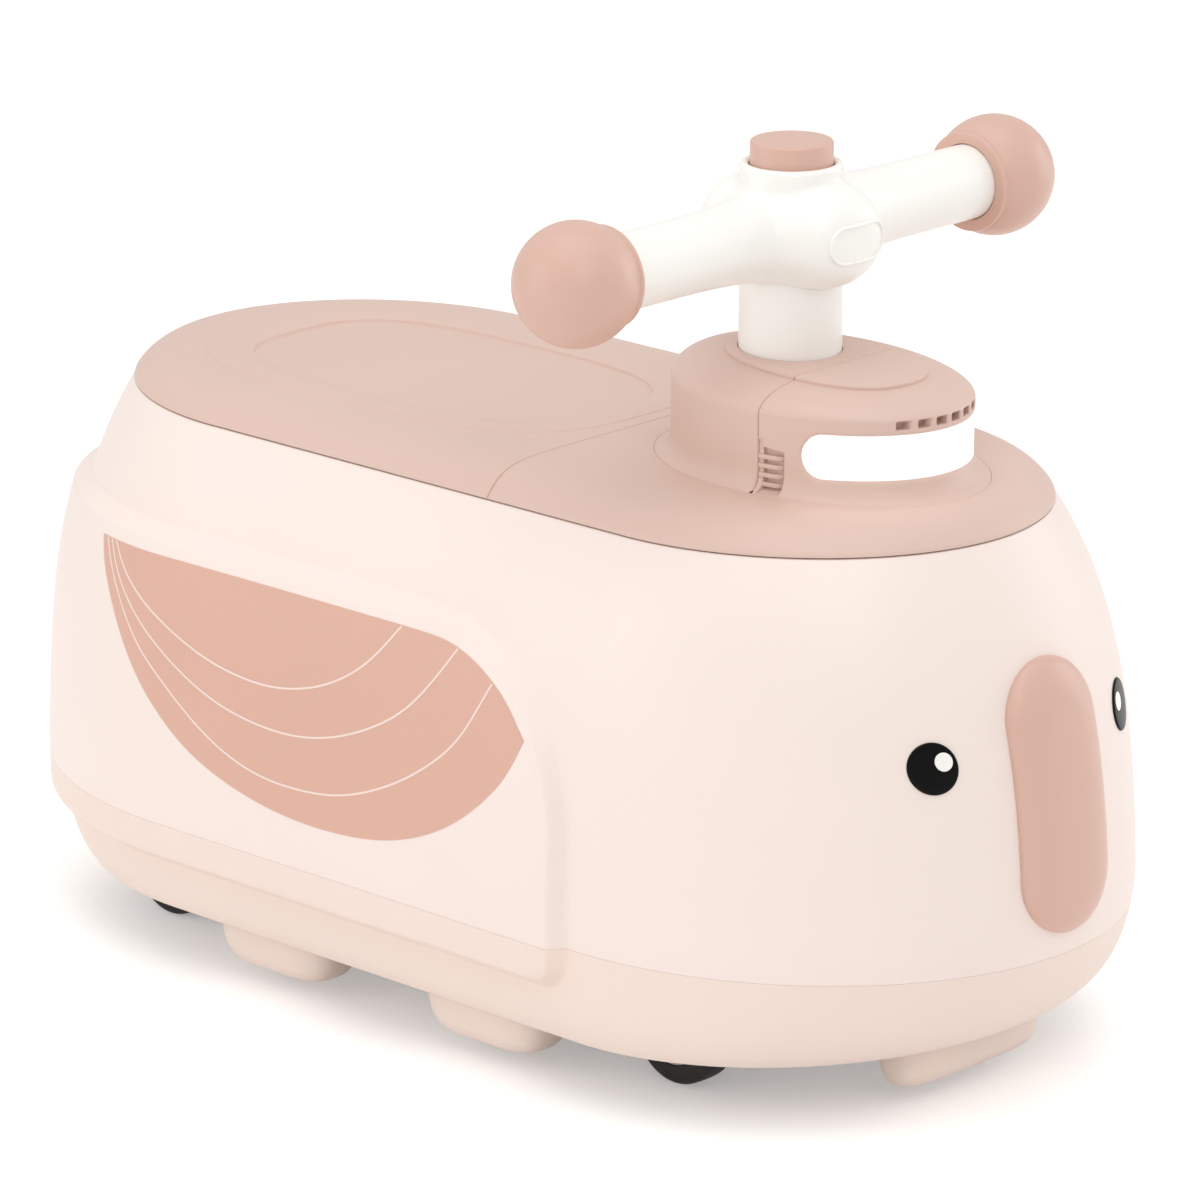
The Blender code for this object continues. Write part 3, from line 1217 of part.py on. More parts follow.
def make_wheels(rubber, grey):
    half = WHEEL_WIDTH / 2
    edge = WHEEL_RADIUS - TYRE_ROUND
    tyre = [(WHEEL_HUB_RADIUS + GAP, half), (edge, half), (WHEEL_RADIUS, half - TYRE_ROUND),
            (WHEEL_RADIUS, TYRE_ROUND - half), (edge, -half), (WHEEL_HUB_RADIUS + GAP, -half)]
    bore = AXLE_RADIUS + GAP
    rim = WHEEL_HUB_RADIUS - HUB_RIM
    nose = AXLE_RADIUS + HUB_RIM
    hub = [(WHEEL_HUB_RADIUS, half), (WHEEL_HUB_RADIUS, -half), (rim, -half), (nose, HUB_DISH - half),
           (nose, -half), (bore, -half), (bore, half), (nose, half), (nose, half - HUB_DISH), (rim, half)]
    for end, x in (("front", FRONT_AXLE_X), ("rear", REAR_AXLE_X)):
        for side, label in ((1, "left"), (-1, "right")):
            spot = (x, side * WHEEL_Y, AXLE_Z)
            turned(f"{end}_{label}_tyre", tyre, spot, rubber, along_y=True, steps=WHEEL_STEPS, bored=True)
            turned(f"{end}_{label}_wheel_hub", hub, spot, grey, along_y=True, steps=ROUND_STEPS,
                   bored=True)


def nose_pad(name, centre, outline, layers, material, crest=0):
    """A pad laid on the nose: (across, up, offset) outline, shrunk and raised layer by layer."""
    rings = []
    for reach, proud in layers:
        rings.append([tuple(nose_point(centre[0] + reach * across, centre[1] + offset + reach * up, proud))
                      for across, up, offset in outline])
    return loft(name, rings, material, crest=crest)


def make_trunk(pink):
    """The standing stadium on the nose, rounded over all its edge."""
    straight = TRUNK_HALF_HEIGHT - TRUNK_HALF_WIDTH
    arc = [math.pi * i / (TRUNK_STEPS - 1) for i in range(TRUNK_STEPS)]
    outline = [(math.cos(angle), math.sin(angle), straight) for angle in arc]
    outline += [(-1.0, 0.0, straight * (1 - 2 * share)) for share in shares(TRUNK_SIDE_STEPS)[1:-1]]
    outline += [(-across, -up, -offset) for across, up, offset in outline]
    layers = [(TRUNK_HALF_WIDTH * share, GAP) for share in TRUNK_BACK_SHARES]
    for share in shares(4):
        angle = share * math.pi / 2
        layers.append((TRUNK_HALF_WIDTH - TRUNK_ROUND * (1 - math.cos(angle)),
                       GAP + TRUNK_EDGE + (TRUNK_PROUD - TRUNK_EDGE) * math.sin(angle)))
    layers.append((TRUNK_HALF_WIDTH * TRUNK_BACK_SHARES[0], GAP + TRUNK_PROUD))
    return nose_pad("trunk", (0, TRUNK_Z), outline, layers, pink, TRUNK_STEPS // 2)


def make_eye(side, black, white):
    label = "left" if side > 0 else "right"
    outline = [(EYE_SQUASH * math.cos(angle), math.sin(angle), 0.0)
               for angle in (2 * math.pi * i / ROUND_STEPS for i in range(ROUND_STEPS))]
    thick = EYE_PROUD
    layers = [(EYE_MIDDLE, GAP), (EYE_RADIUS, GAP), (EYE_RADIUS, GAP + thick / 2),
              (EYE_RADIUS - EYE_EDGE, GAP + thick), (EYE_MIDDLE, GAP + thick)]
    nose_pad(f"eye_{label}", (side * EYE_Y, EYE_Z), outline, layers, black)
    seat = 2 * GAP + thick
    flat = [(GLINT_RADIUS, seat), (GLINT_RADIUS, seat + GLINT_PROUD)]
    centre = (side * (EYE_Y - GLINT_SHIFT_Y), EYE_Z + GLINT_SHIFT_Z)
    nose_pad(f"eye_glint_{label}", centre, outline, flat, white)


def gather(names, parent):
    for name in names:
        ride(bpy.data.objects[name], parent)


def make_pivots():
    """Empties on the joint axes carry the pieces that move."""
    steering = pivot("steering_axis", (STEER_X, 0, 0))
    gather(["steering_column", "steering_shaft", "handlebar", "hub_plate", "grip_left", "grip_right",
            "horn_switch", "horn_spring", "front_axle_carrier", "shaft_nut", "front_axle",
            "front_left_axle_cap", "front_right_axle_cap"], steering)
    gather(["horn_button"], pivot("button_axis", (STEER_X, 0, BUTTON_TOP_Z), steering))
    gather(["seat_lid"], pivot("lid_axis", (HINGE_X, 0, HINGE_Z)))
    for end, x, parent in (("front", FRONT_AXLE_X, steering), ("rear", REAR_AXLE_X, None)):
        for side, label in ((1, "left"), (-1, "right")):
            axis = pivot(f"{end}_{label}_wheel_axis", (x, side * WHEEL_Y, AXLE_Z), parent)
            gather([f"{end}_{label}_tyre", f"{end}_{label}_wheel_hub"], axis)


def main():
    clear_scene()
    cream = finish("cream_plastic", "F5E4DE", 0.42)
    peach = finish("peach_plastic", "F1DDD2", 0.45)
    pink = finish("dusty_pink_plastic", "DCBAB0", 0.50)
    white = finish("white_plastic", "F6F4F0", 0.35)
    black = finish("black_enamel", "16120F", 0.25)
    rubber = finish("black_rubber", "1D1A18", 0.75)
    grey = finish("grey_nylon", "A9A7A6", 0.50)
    dark = finish("grey_abs", "55565A", 0.55)
    green = finish("circuit_board", "2F5D44", 0.60)
    steel = finish("zinc_steel", "B9BBBE", 0.30, metallic=1.0)
    acetal = finish("white_acetal", "EDEAE2", 0.40)
    lens = finish("lamp_white", "FDFDFD", 0.30)
    liner = finish("liner_plastic", "E9D6CC", 0.50)
    make_upper_shell(cream)
    make_chassis(peach)
    make_screws(steel)
    make_seat_lid(pink)
    make_hinge_pin(steel)
    make_front_cover(pink)
    make_tub(liner)
    far = 4 * HOUSE_HALF_LENGTH
    make_housing_half("housing_rear", pink, -far, HOUSE_SPLIT_X - GAP)
    make_housing_front(pink)
    make_lens(lens)
    make_inside_housing(dark, steel, green, acetal)
    make_handlebar(white)
    make_badge(white)
    make_column(white)
    make_grip(1, pink)
    make_grip(-1, pink)
    make_button(pink)
    make_switch(green, steel)
    make_shaft(steel)
    make_carrier(dark, steel, acetal)
    make_axle("front", FRONT_AXLE_X, steel)
    make_axle("rear", REAR_AXLE_X, steel)
    make_wheels(rubber, grey)
    make_trunk(pink)
    make_eye(1, black, white)
    make_eye(-1, black, white)
    make_pivots()


main()
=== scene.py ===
import math

import bmesh
import bpy
import numpy as np
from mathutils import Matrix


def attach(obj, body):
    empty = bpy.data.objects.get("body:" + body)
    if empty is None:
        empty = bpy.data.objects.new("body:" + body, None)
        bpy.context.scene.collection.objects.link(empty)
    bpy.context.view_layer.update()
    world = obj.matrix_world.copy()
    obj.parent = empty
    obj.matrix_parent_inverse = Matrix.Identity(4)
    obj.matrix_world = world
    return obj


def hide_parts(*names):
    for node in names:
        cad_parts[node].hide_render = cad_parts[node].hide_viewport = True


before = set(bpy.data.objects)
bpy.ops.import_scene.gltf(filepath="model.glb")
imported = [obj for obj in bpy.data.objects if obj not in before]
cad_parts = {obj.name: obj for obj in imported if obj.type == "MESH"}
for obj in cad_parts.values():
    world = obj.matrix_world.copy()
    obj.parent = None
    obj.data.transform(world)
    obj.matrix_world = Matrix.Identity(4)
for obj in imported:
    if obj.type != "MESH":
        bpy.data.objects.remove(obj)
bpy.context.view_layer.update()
print("stage: frame loaded")


class Settings(dict):
    # a piece's settings dictionary, with entries that also read as attributes
    __getattr__ = dict.__getitem__


cameraView = Settings(place=(2.242, -2.353, 1.184), tilt=72.93, turn=43.48, lens=210, sensor=36)
cameraData = bpy.data.cameras.new("camera")
cameraData.lens = cameraView.lens
cameraData.sensor_width = cameraView.sensor
camera = bpy.data.objects.new("camera", cameraData)
camera.location = cameraView.place
camera.rotation_euler = (math.radians(cameraView.tilt), 0, math.radians(cameraView.turn))
bpy.context.scene.collection.objects.link(camera)
bpy.context.scene.camera = camera
bpy.context.scene.view_settings.view_transform = "Standard"


def toLinear(hexColour):
    channels = np.array([int(hexColour[i:i + 2], 16) / 255 for i in (0, 2, 4)])
    linear = np.where(channels <= 0.04045, channels / 12.92, ((channels + 0.055) / 1.055) ** 2.4)
    return (*linear.tolist(), 1.0)


def feed(tree, node, inputs):
    for key, value in inputs.items():
        if isinstance(value, bpy.types.NodeSocket):
            tree.links.new(value, node.inputs[key])
        else:
            node.inputs[key].default_value = value


def addNode(tree, kind, inputs=None, **settings):
    node = tree.nodes.new(kind)
    for key, value in settings.items():
        setattr(node, key, value)
    feed(tree, node, inputs or {})
    return node


def newMaterial(name):
    material = bpy.data.materials.new(name)
    material.use_nodes = True
    tree = material.node_tree
    return material, tree, tree.nodes["Principled BSDF"], addNode(tree, "ShaderNodeTexCoord").outputs["Object"]


plasticLook = Settings(cloudScale=14.0, grainScale=0.7, roughSpread=0.04, bump=0.5, ior=1.49)


def plasticMaterial(name, hexColour, roughness, grain=0.0007, tint=0.02, depth=0.00002, mirror=0.5):
    # injection-moulded plastic with a fine eroded grain: a soft satin sheen that stays even,
    # with a barely seen cloudiness of the pigment over a few centimetres
    material, tree, shader, place = newMaterial(name)
    look, colour = plasticLook, toLinear(hexColour)[:3]
    cloud = addNode(tree, "ShaderNodeTexNoise", {"Vector": place, "Scale": look.cloudScale, "Detail": 2.0})
    darker, lighter = ((*(min(c * share, 1.0) for c in colour), 1.0) for share in (1 - tint, 1 + tint))
    pigment = addNode(tree, "ShaderNodeMix", {0: cloud.outputs["Fac"], 6: darker, 7: lighter}, data_type="RGBA")
    fine = addNode(tree, "ShaderNodeTexNoise", {"Vector": place, "Scale": look.grainScale / grain, "Detail": 1.0})
    spread = addNode(tree, "ShaderNodeMapRange", {
        "Value": fine.outputs["Fac"], "To Min": roughness - look.roughSpread, "To Max": roughness + look.roughSpread})
    bump = addNode(tree, "ShaderNodeBump", {"Height": fine.outputs["Fac"], "Strength": look.bump, "Distance": depth})
    feed(tree, shader, {"Base Color": pigment.outputs[2], "Roughness": spread.outputs["Result"],
                        "Normal": bump.outputs["Normal"], "IOR": look.ior, "Specular IOR Level": mirror})
    return material


def steelMaterial(name):
    # zinc-plated steel: bright, with fine drawn lines along its length that stretch the highlight
    material, tree, shader, place = newMaterial(name)
    scaled = addNode(tree, "ShaderNodeMapping", {"Vector": place, "Scale": (2200.0, 120.0, 2200.0)})
    drawn = addNode(tree, "ShaderNodeTexNoise", {"Vector": scaled.outputs["Vector"], "Scale": 1.0})
    spread = addNode(tree, "ShaderNodeMapRange", {"Value": drawn.outputs["Fac"], "To Min": 0.24, "To Max": 0.4})
    spangle = addNode(tree, "ShaderNodeTexVoronoi", {"Vector": place, "Scale": 420.0})
    zinc = addNode(tree, "ShaderNodeMix", {
        0: spangle.outputs["Distance"], 6: toLinear("C2C5C9"), 7: toLinear("AEB2B6")}, data_type="RGBA")
    feed(tree, shader, {"Base Color": zinc.outputs[2], "Roughness": spread.outputs["Result"], "Metallic": 1.0})
    return material


def boardMaterial(name):
    # circuit board: green solder mask over copper tracks that show as slightly lighter lines
    material, tree, shader, place = newMaterial(name)
    tracks = addNode(tree, "ShaderNodeTexBrick", {
        "Vector": place, "Scale": 260.0, "Mortar Size": 0.06, "Color1": toLinear("2F5D44"),
        "Color2": toLinear("2A553D"), "Mortar": toLinear("4C7F5C")})
    feed(tree, shader, {"Base Color": tracks.outputs["Color"], "Roughness": 0.45})
    return material


def lampMaterial(name):
    # opal lamp window: diffusing white plastic lit evenly from behind
    material, tree, shader, place = newMaterial(name)
    cloud = addNode(tree, "ShaderNodeTexNoise", {"Vector": place, "Scale": 60.0})
    glow = addNode(tree, "ShaderNodeMix", {
        0: cloud.outputs["Fac"], 6: toLinear("FBFAF8"), 7: toLinear("FFFFFF")}, data_type="RGBA")
    feed(tree, shader, {"Base Color": glow.outputs[2], "Emission Color": glow.outputs[2],
                        "Emission Strength": 0.35, "Roughness": 0.3})
    return material


# colour and roughness, then where they differ from the usual: grain's size, cloudiness, grain's depth, mirroring;
# the eyes' enamel mirrors less than plastic does, which keeps it black under a pale room
plastics = {
    "cream_plastic": ("F4E5DD", 0.42),
    "peach_plastic": ("F1DED3", 0.45),
    "dusty_pink_plastic": ("DBBEB1", 0.46),
    # the same dusty pink plastic as a darker, more saturated copy for the trunk, grips and button: their shade is
    # painted into its colour
    "dusty_pink_with_painted_shade": ("D8B1A1", 0.36),
    "white_plastic": ("F9F7F2", 0.32),
    "black_enamel": ("080706", 0.3, 0.0007, 0.1, 0.000005, 0.12),
    "black_rubber": ("1D1A18", 0.72, 0.0010, 0.12, 0.00006),
    "grey_nylon": ("A9A7A6", 0.50),
    "grey_abs": ("55565A", 0.55),
    "white_acetal": ("EDEAE2", 0.40),
    "liner_plastic": ("E9D6CC", 0.50),
    "decal_film": ("DBAD9A", 0.38, 0.0015, 0.02, 0.000004),
    "decal_line": ("F3DDD4", 0.38, 0.0015, 0.02, 0.000004),
}
materials = {name: plasticMaterial(name, *look) for name, look in plastics.items()}
for name, make in (("circuit_board", boardMaterial), ("zinc_steel", steelMaterial), ("lamp_white", lampMaterial)):
    materials[name] = make(name)
print("stage: materials")


def gridPoints(x, y, z):
    return np.stack(np.broadcast_arrays(x, y, z), axis=-1)


def quarter(count):
    return np.linspace(0, np.pi / 2, count)


def roundTurns(count):
    return np.linspace(0, 2 * np.pi, count, endpoint=False)


def superWave(wave, power):
    return np.sign(wave) * np.abs(wave) ** (2 / power)


def halved(holds, high, rounds):
    # the length up to which a condition holds, found by halving
    low = np.zeros_like(high)
    for _ in range(rounds):
        middle = (low + high) / 2
        held = holds(middle)
        low, high = np.where(held, middle, low), np.where(held, high, middle)
    return low


def gridFaces(rows, columns, loopRows=False, loopColumns=True):
    row = np.arange(rows if loopRows else rows - 1)[:, None]
    column = np.arange(columns if loopColumns else columns - 1)[None, :]
    nextRow, nextColumn = (row + 1) % rows, (column + 1) % columns
    corners = [row * columns + column, row * columns + nextColumn,
               nextRow * columns + nextColumn, nextRow * columns + column]
    return np.stack(np.broadcast_arrays(*corners), axis=-1).reshape(-1, 4)


def buildMesh(name, points, faces):
    places = np.asarray(points, dtype=np.float32).reshape(-1, 3)
    corners = np.asarray(faces, dtype=np.int32).reshape(-1, 4)
    mesh = bpy.data.meshes.new(name)
    mesh.vertices.add(len(places))
    mesh.vertices.foreach_set("co", places.ravel())
    mesh.loops.add(corners.size)
    mesh.loops.foreach_set("vertex_index", corners.ravel())
    mesh.polygons.add(len(corners))
    mesh.polygons.foreach_set("loop_start", np.arange(0, corners.size, 4, dtype=np.int32))
    mesh.update(calc_edges=True)
    shape = bmesh.new()
    shape.from_mesh(mesh)
    bmesh.ops.remove_doubles(shape, verts=shape.verts, dist=1e-6)
    bmesh.ops.recalc_face_normals(shape, faces=shape.faces)
    shape.to_mesh(mesh)
    shape.free()
    piece = bpy.data.objects.new(name, mesh)
    bpy.context.scene.collection.objects.link(piece)
    return piece


def ringSolid(name, rings, loopRows=False, capped=True):
    # a skin over rings of points, closed by a fan at each end, by joining its ends, or by rings that have no width
    rings = np.asarray(rings, float)
    if capped and not loopRows:
        middle = [np.broadcast_to(ring.mean(axis=1, keepdims=True), ring.shape) for ring in (rings[:1], rings[-1:])]
        rings = np.concatenate([middle[0], rings, middle[1]])
    return buildMesh(name, rings, gridFaces(rings.shape[0], rings.shape[1], loopRows))


def softLine(corners, radii, steps=6):
    # each corner of a line becomes a circular arc of its radius, as a weighted curve between its tangent points
    corners, radii = np.asarray(corners, float), np.asarray(radii, float)[:, None]
    before, after = np.roll(corners, 1, axis=0) - corners, np.roll(corners, -1, axis=0) - corners
    before /= np.maximum(np.linalg.norm(before, axis=1, keepdims=True), 1e-9)
    after /= np.maximum(np.linalg.norm(after, axis=1, keepdims=True), 1e-9)
    turn = np.arccos(np.clip(-(before * after).sum(axis=1, keepdims=True), -1, 1))
    reach, weight = radii * np.tan(turn / 2), np.cos(turn / 2)[:, None]
    share = np.linspace(0, 1, steps)[None, :, None]
    parts = [(1 - share) ** 2, 2 * weight * share * (1 - share), share ** 2]
    ends = [(corners + before * reach)[:, None], corners[:, None], (corners + after * reach)[:, None]]
    line = (sum(p * e for p, e in zip(parts, ends)) / sum(parts)).reshape(-1, 2)
    return line[np.r_[True, np.linalg.norm(np.diff(line, axis=0), axis=1) > 1e-6]]


def turned(name, profile, at, alongY=False, flip=False, steps=96, bored=False):
    # a line of (radius, height) points turned round the upright or the crosswise axis
    profile, angle = np.asarray(profile, float), roundTurns(steps)
    radius, height = profile[:, :1], profile[:, 1:] * (-1 if flip else 1)
    across, up = radius * np.cos(angle), radius * np.sin(angle)
    ring = gridPoints(across, height, up) if alongY else gridPoints(across, up, height)
    return buildMesh(name, ring + np.array(at), gridFaces(len(profile), steps, bored))


def rod(name, start, end, radius, steps=48):
    low, high = np.array(start, float), np.array(end, float)
    axis = (high - low) / np.linalg.norm(high - low)
    side = np.cross(axis, (0.0, 0.0, 1.0) if abs(axis[2]) < 0.9 else (1.0, 0.0, 0.0))
    side /= np.linalg.norm(side)
    angle = roundTurns(steps)[:, None]
    ring = radius * (np.cos(angle) * side + np.sin(angle) * np.cross(axis, side))
    return ringSolid(name, [low + ring, high + ring])


def block(name, low, high):
    x, y = np.array([low[0], high[0], high[0], low[0]]), np.array([low[1], low[1], high[1], high[1]])
    return ringSolid(name, [gridPoints(x, y, z) for z in (low[2], high[2])])


def carve(piece, operation, *tools):
    for tool in tools:
        step = piece.modifiers.new(tool.name, "BOOLEAN")
        step.operation = operation
        step.solver = "EXACT"
        step.object = tool
    graph = bpy.context.evaluated_depsgraph_get()
    result = bpy.data.meshes.new_from_object(piece.evaluated_get(graph))
    piece.modifiers.clear()
    piece.data = result
    for tool in tools:
        bpy.data.objects.remove(tool, do_unlink=True)
    return piece


def stadium(straight, ends, sides):
    # a lying stadium's outline: for each point its direction off the spine and its place along the spine
    angle = np.linspace(-np.pi / 2, np.pi / 2, ends)
    end, side = np.c_[np.cos(angle), np.sin(angle)], np.linspace(1, -1, sides)[1:-1]
    flat = np.c_[0 * side, 0 * side + 1]
    shift = [np.full(ends, straight), straight * side, np.full(ends, -straight), -straight * side]
    return np.concatenate([end, flat, -end, -flat]), np.concatenate(shift)


def finishPiece(piece, look, body, *nodes, slot=None, angle=35):
    piece.data.materials.clear()
    piece.data.materials.append(materials[look])
    piece.data.shade_smooth()
    piece.data.set_sharp_from_angle(angle=math.radians(angle))
    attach(piece, body)
    slot = slot or look
    if nodes:
        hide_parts(*nodes)


# nose, tail and side each give the swell, the power by which it fades, and the tuck's depth and rise
bodyForm = Settings(
    halfStraight=0.137, noseReach=0.127, tailReach=0.132, halfWidth=0.117, rimRound=1.95, lowRound=1.98,
    rimHeight=0.271, bulgeHeight=0.090, baseHeight=0.0325, seamHeight=0.080, seamGap=0.00004, wall=0.003, lean=0.006,
    nose=(0.0437, 2.6, 0.052, 0.069), tail=(0.0390, 2.6, 0.030, 0.042), side=(0.0366, 4.2, 0.010, 0.024),
    tuckDrop=0.002, panelProud=0.008, panelBlend=0.007, panelFront=0.135, panelTop=0.226, panelFoot=0.0575,
    panelTopRadius=0.095, panelFootRadius=0.015, rimEdge=0.0005, rimInnerEdge=0.0004, seamEdge=0.00015,
    ledgeReach=0.009, ledgeThick=0.0025, ledgeDrop=0.0075,
)


def climbShare(z):
    low, high = bodyForm.bulgeHeight, bodyForm.rimHeight
    return np.clip((z - low) / (high - low), 0, 1)


def bodyReach(z, inset=0.0):
    # reach = rim reach + a swell that fades towards the rim by a power - a quarter ellipse near the ground
    form, share = bodyForm, climbShare(z)
    reaches = []
    for base, (swell, power, depth, rise) in ((form.noseReach, form.nose), (form.tailReach, form.tail),
                                              (form.halfWidth, form.side)):
        low = np.clip((form.baseHeight - form.tuckDrop + rise - z) / rise, 0, 1)
        out = form.lean * (1 - share) + (swell - form.lean) * (1 - share ** power)
        reaches.append(base + out - depth * (1 - np.sqrt(1 - low ** 2)) - inset)
    return reaches


def bodyRoundness(z):
    return bodyForm.lowRound + (bodyForm.rimRound - bodyForm.lowRound) * climbShare(z) ** 4


def cornerDepth(ahead, inward, radius):
    inside = radius - np.hypot(radius - ahead, radius - inward)
    return np.where((ahead < radius) & (inward < radius), inside, np.minimum(ahead, inward))


def panelHeight(x, z):
    # a plateau with round corners, its edge an S-shaped step as wide as the blend
    form, ahead = bodyForm, bodyForm.panelFront - x
    depth = np.minimum(cornerDepth(ahead, form.panelTop - z, form.panelTopRadius),
                       cornerDepth(ahead, z - form.panelFoot, form.panelFootRadius))
    share = np.clip(depth / form.panelBlend, 0, 1)
    return form.panelProud * share * share * (3 - 2 * share)


def panelEdge(z):
    form = bodyForm
    edge = np.full_like(z, form.panelFront)
    for radius, inward in ((form.panelTopRadius, form.panelTop - z), (form.panelFootRadius, z - form.panelFoot)):
        rise = radius - np.clip(inward, 0, radius)
        edge = np.minimum(edge, form.panelFront - radius + np.sqrt(radius ** 2 - rise ** 2))
    return edge


def bodyGrid(rows, arc=56, blend=12, rest=36):
    # each row, a height and an inset, is the outline there: a superellipse arc round the nose, the side with the
    # panel's step in columns that follow the panel's edge, and a superellipse arc round the tail
    z, inset = rows[:, :1], rows[:, 1:]
    nose, tail, side = bodyReach(z, inset)
    power, half = 2 / bodyRoundness(z), bodyForm.halfStraight
    cosine, sine = np.clip(np.cos(quarter(arc)), 0, 1)[None, :], np.sin(quarter(arc))[None, :]
    cosine[:, -1] = 0
    edge, width = panelEdge(z), bodyForm.panelBlend
    x = np.concatenate([half + (edge - half) * np.linspace(0, 1, 8)[1:],
                        edge - width * np.linspace(0, 1, blend)[1:],
                        edge - width - (edge - width + half) * np.linspace(0, 1, rest)[1:-1]], axis=1)
    back = panelHeight(np.full_like(z, -half), z)
    halfX = np.concatenate([half + nose * cosine ** power, x, -half - (tail + back) * sine ** power], axis=1)
    halfY = np.concatenate([side * sine ** power, side + panelHeight(x, z), (side + back) * cosine ** power], axis=1)
    return gridPoints(np.concatenate([halfX, halfX[:, -2:0:-1]], axis=1),
                      np.concatenate([halfY, -halfY[:, -2:0:-1]], axis=1), z)


def wallPoint(x, z, proud=0.0):
    # half width of the outside at a place along the body, raised straight out
    _, tail, side = bodyReach(z)
    half, power = bodyForm.halfStraight, bodyRoundness(z)
    back = panelHeight(np.full_like(z, -half), z)
    beyond = np.clip((-x - half) / (tail + back), 0, 1)
    tailY = (side + back) * (1 - beyond ** power) ** (1 / power)
    return gridPoints(x, np.where(x < -half, tailY, side + panelHeight(x, z)) + proud, z)


def cornerTurns(radius, near, far):
    # turns round one of the panel's corners, closest together along its step
    blend = math.acos(1 - bodyForm.panelBlend / radius)
    return np.r_[np.linspace(0, blend, near)[1:], np.linspace(blend, np.pi / 2, far)[1:]]


def seamRows(seam, side):
    turn, soft = quarter(6)[1:], bodyForm.seamEdge
    return np.c_[seam + side * soft * (1 - np.sin(turn)), soft * (1 - np.cos(turn))]


hingeForm = Settings(x=-0.2655, z=0.2690, radius=0.0036, middle=0.012, side=0.014, run=0.0005, bore=0.0018,
                     boreReach=0.02, notchFoot=0.263, neckFoot=0.001, neckDrop=0.0004)


def makeBodyShell():
    form, hinge = bodyForm, hingeForm
    rim, edge, wall, soft = form.rimHeight, form.rimEdge, form.wall, form.seamEdge
    seam, top, radius = form.seamHeight + form.seamGap, form.panelTop, form.panelTopRadius
    turn = quarter(6)
    down = np.r_[np.linspace(rim - edge, top, 16)[1:], top - radius * (1 - np.cos(cornerTurns(radius, 16, 24))),
                 np.linspace(top - radius, seam + soft, 14)[1:]]
    ledge, reach = rim - form.ledgeDrop, wall + form.ledgeReach
    inside = np.array([seam, 0.09, 0.131, 0.17, 0.2, 0.219, 0.226, 0.245, ledge - form.ledgeThick])
    rows = np.concatenate([
        np.c_[rim - edge * (1 - np.cos(turn)), edge * (1 - np.sin(turn))], np.c_[down, 0 * down], seamRows(seam, 1),
        np.c_[inside, 0 * inside + wall],
        [(ledge - form.ledgeThick, reach), (ledge, reach), (ledge, wall), (rim - form.rimInnerEdge, wall),
         (rim, wall - form.rimInnerEdge)]])
    shell = ringSolid("bodyShell", bodyGrid(rows), loopRows=True)
    x, z, near, run = hinge.x, hinge.z, hinge.middle, hinge.run
    notches = [rod(f"notch{s}", (x, s * near, z), (x, s * (near + hinge.side + 2 * run), z), hinge.radius + 2 * run)
               for s in (-1, 1)]
    carve(shell, "DIFFERENCE", *notches)
    carve(shell, "UNION", rod("knuckle", (x, -near, z), (x, near, z), hinge.radius))
    carve(shell, "DIFFERENCE", rod("bore", (x, -hinge.boreReach, z), (x, hinge.boreReach, z), hinge.bore))
    finishPiece(shell, "cream_plastic", "body", "upper_shell")


makeBodyShell()
print("stage: body shell")

# the foot's ends and sides are quarter ellipses, each given as its reach and height
chassisForm = Settings(
    lip=0.004, lipRise=0.0008, lipEdge=0.001, floor=0.0385, floorTop=0.0415, middle=0.0400,
    sideSteps=(0.0745, 0.077), lapGap=0.0003, lapRise=0.006, lapWidth=0.0018, lapFoot=0.003,
    footLow=0.0102, footSink=0.0015, footY=0.123, footWidth=0.034, sideFeet=(-0.082, 0.060), footLength=0.076,
    endFeet=(0.242, -0.258), endWidth=0.096, endLength=0.034, footRound=3.4,
    footBehind=(0.013, 0.020), footAhead=(0.009, 0.014), footSides=(0.005, 0.010),
    steerX=0.133, wellRadius=0.1067, wellTop=0.057, wellFront=0.2201, bossRadius=0.0113, bossTop=0.083,
    bossSink=0.0015, bushBore=0.0086, rearX=-0.1975, rearHalf=0.0315, rearInner=0.0738, rearOuter=0.1027,
    saddle=0.010, saddleHalf=0.009, saddleFoot=0.0195, saddleSink=0.0015, axleZ=0.0255, axleBore=0.0033,
)


def footSolid(name, x, y, length, width):
    # rings of a superellipse from the ground up, drawn in low down at the ends and sides
    form = chassisForm
    rise = np.r_[0, np.geomspace(0.0006, form.floor + form.footSink - form.footLow, 16)][:, None]
    behind, ahead, sides = (reach * (1 - np.sqrt(1 - (1 - np.clip(rise / tall, 0, 1)) ** 2))
                            for reach, tall in (form.footBehind, form.footAhead, form.footSides))
    low, high, angle = x - length / 2 + behind, x + length / 2 - ahead, roundTurns(72)
    return ringSolid(name, gridPoints(
        (low + high) / 2 + (high - low) / 2 * superWave(np.cos(angle), form.footRound),
        y + (width / 2 - sides) * superWave(np.sin(angle), form.footRound), form.footLow + rise))


def flatDrum(name, radius, low, high, front):
    x = chassisForm.steerX
    drum = rod(name, (x, 0, low), (x, 0, high), radius, steps=96)
    return carve(drum, "DIFFERENCE", block(f"{name}Flat", (front, -0.3, low - 0.01), (front + 0.2, 0.3, high + 0.01)))


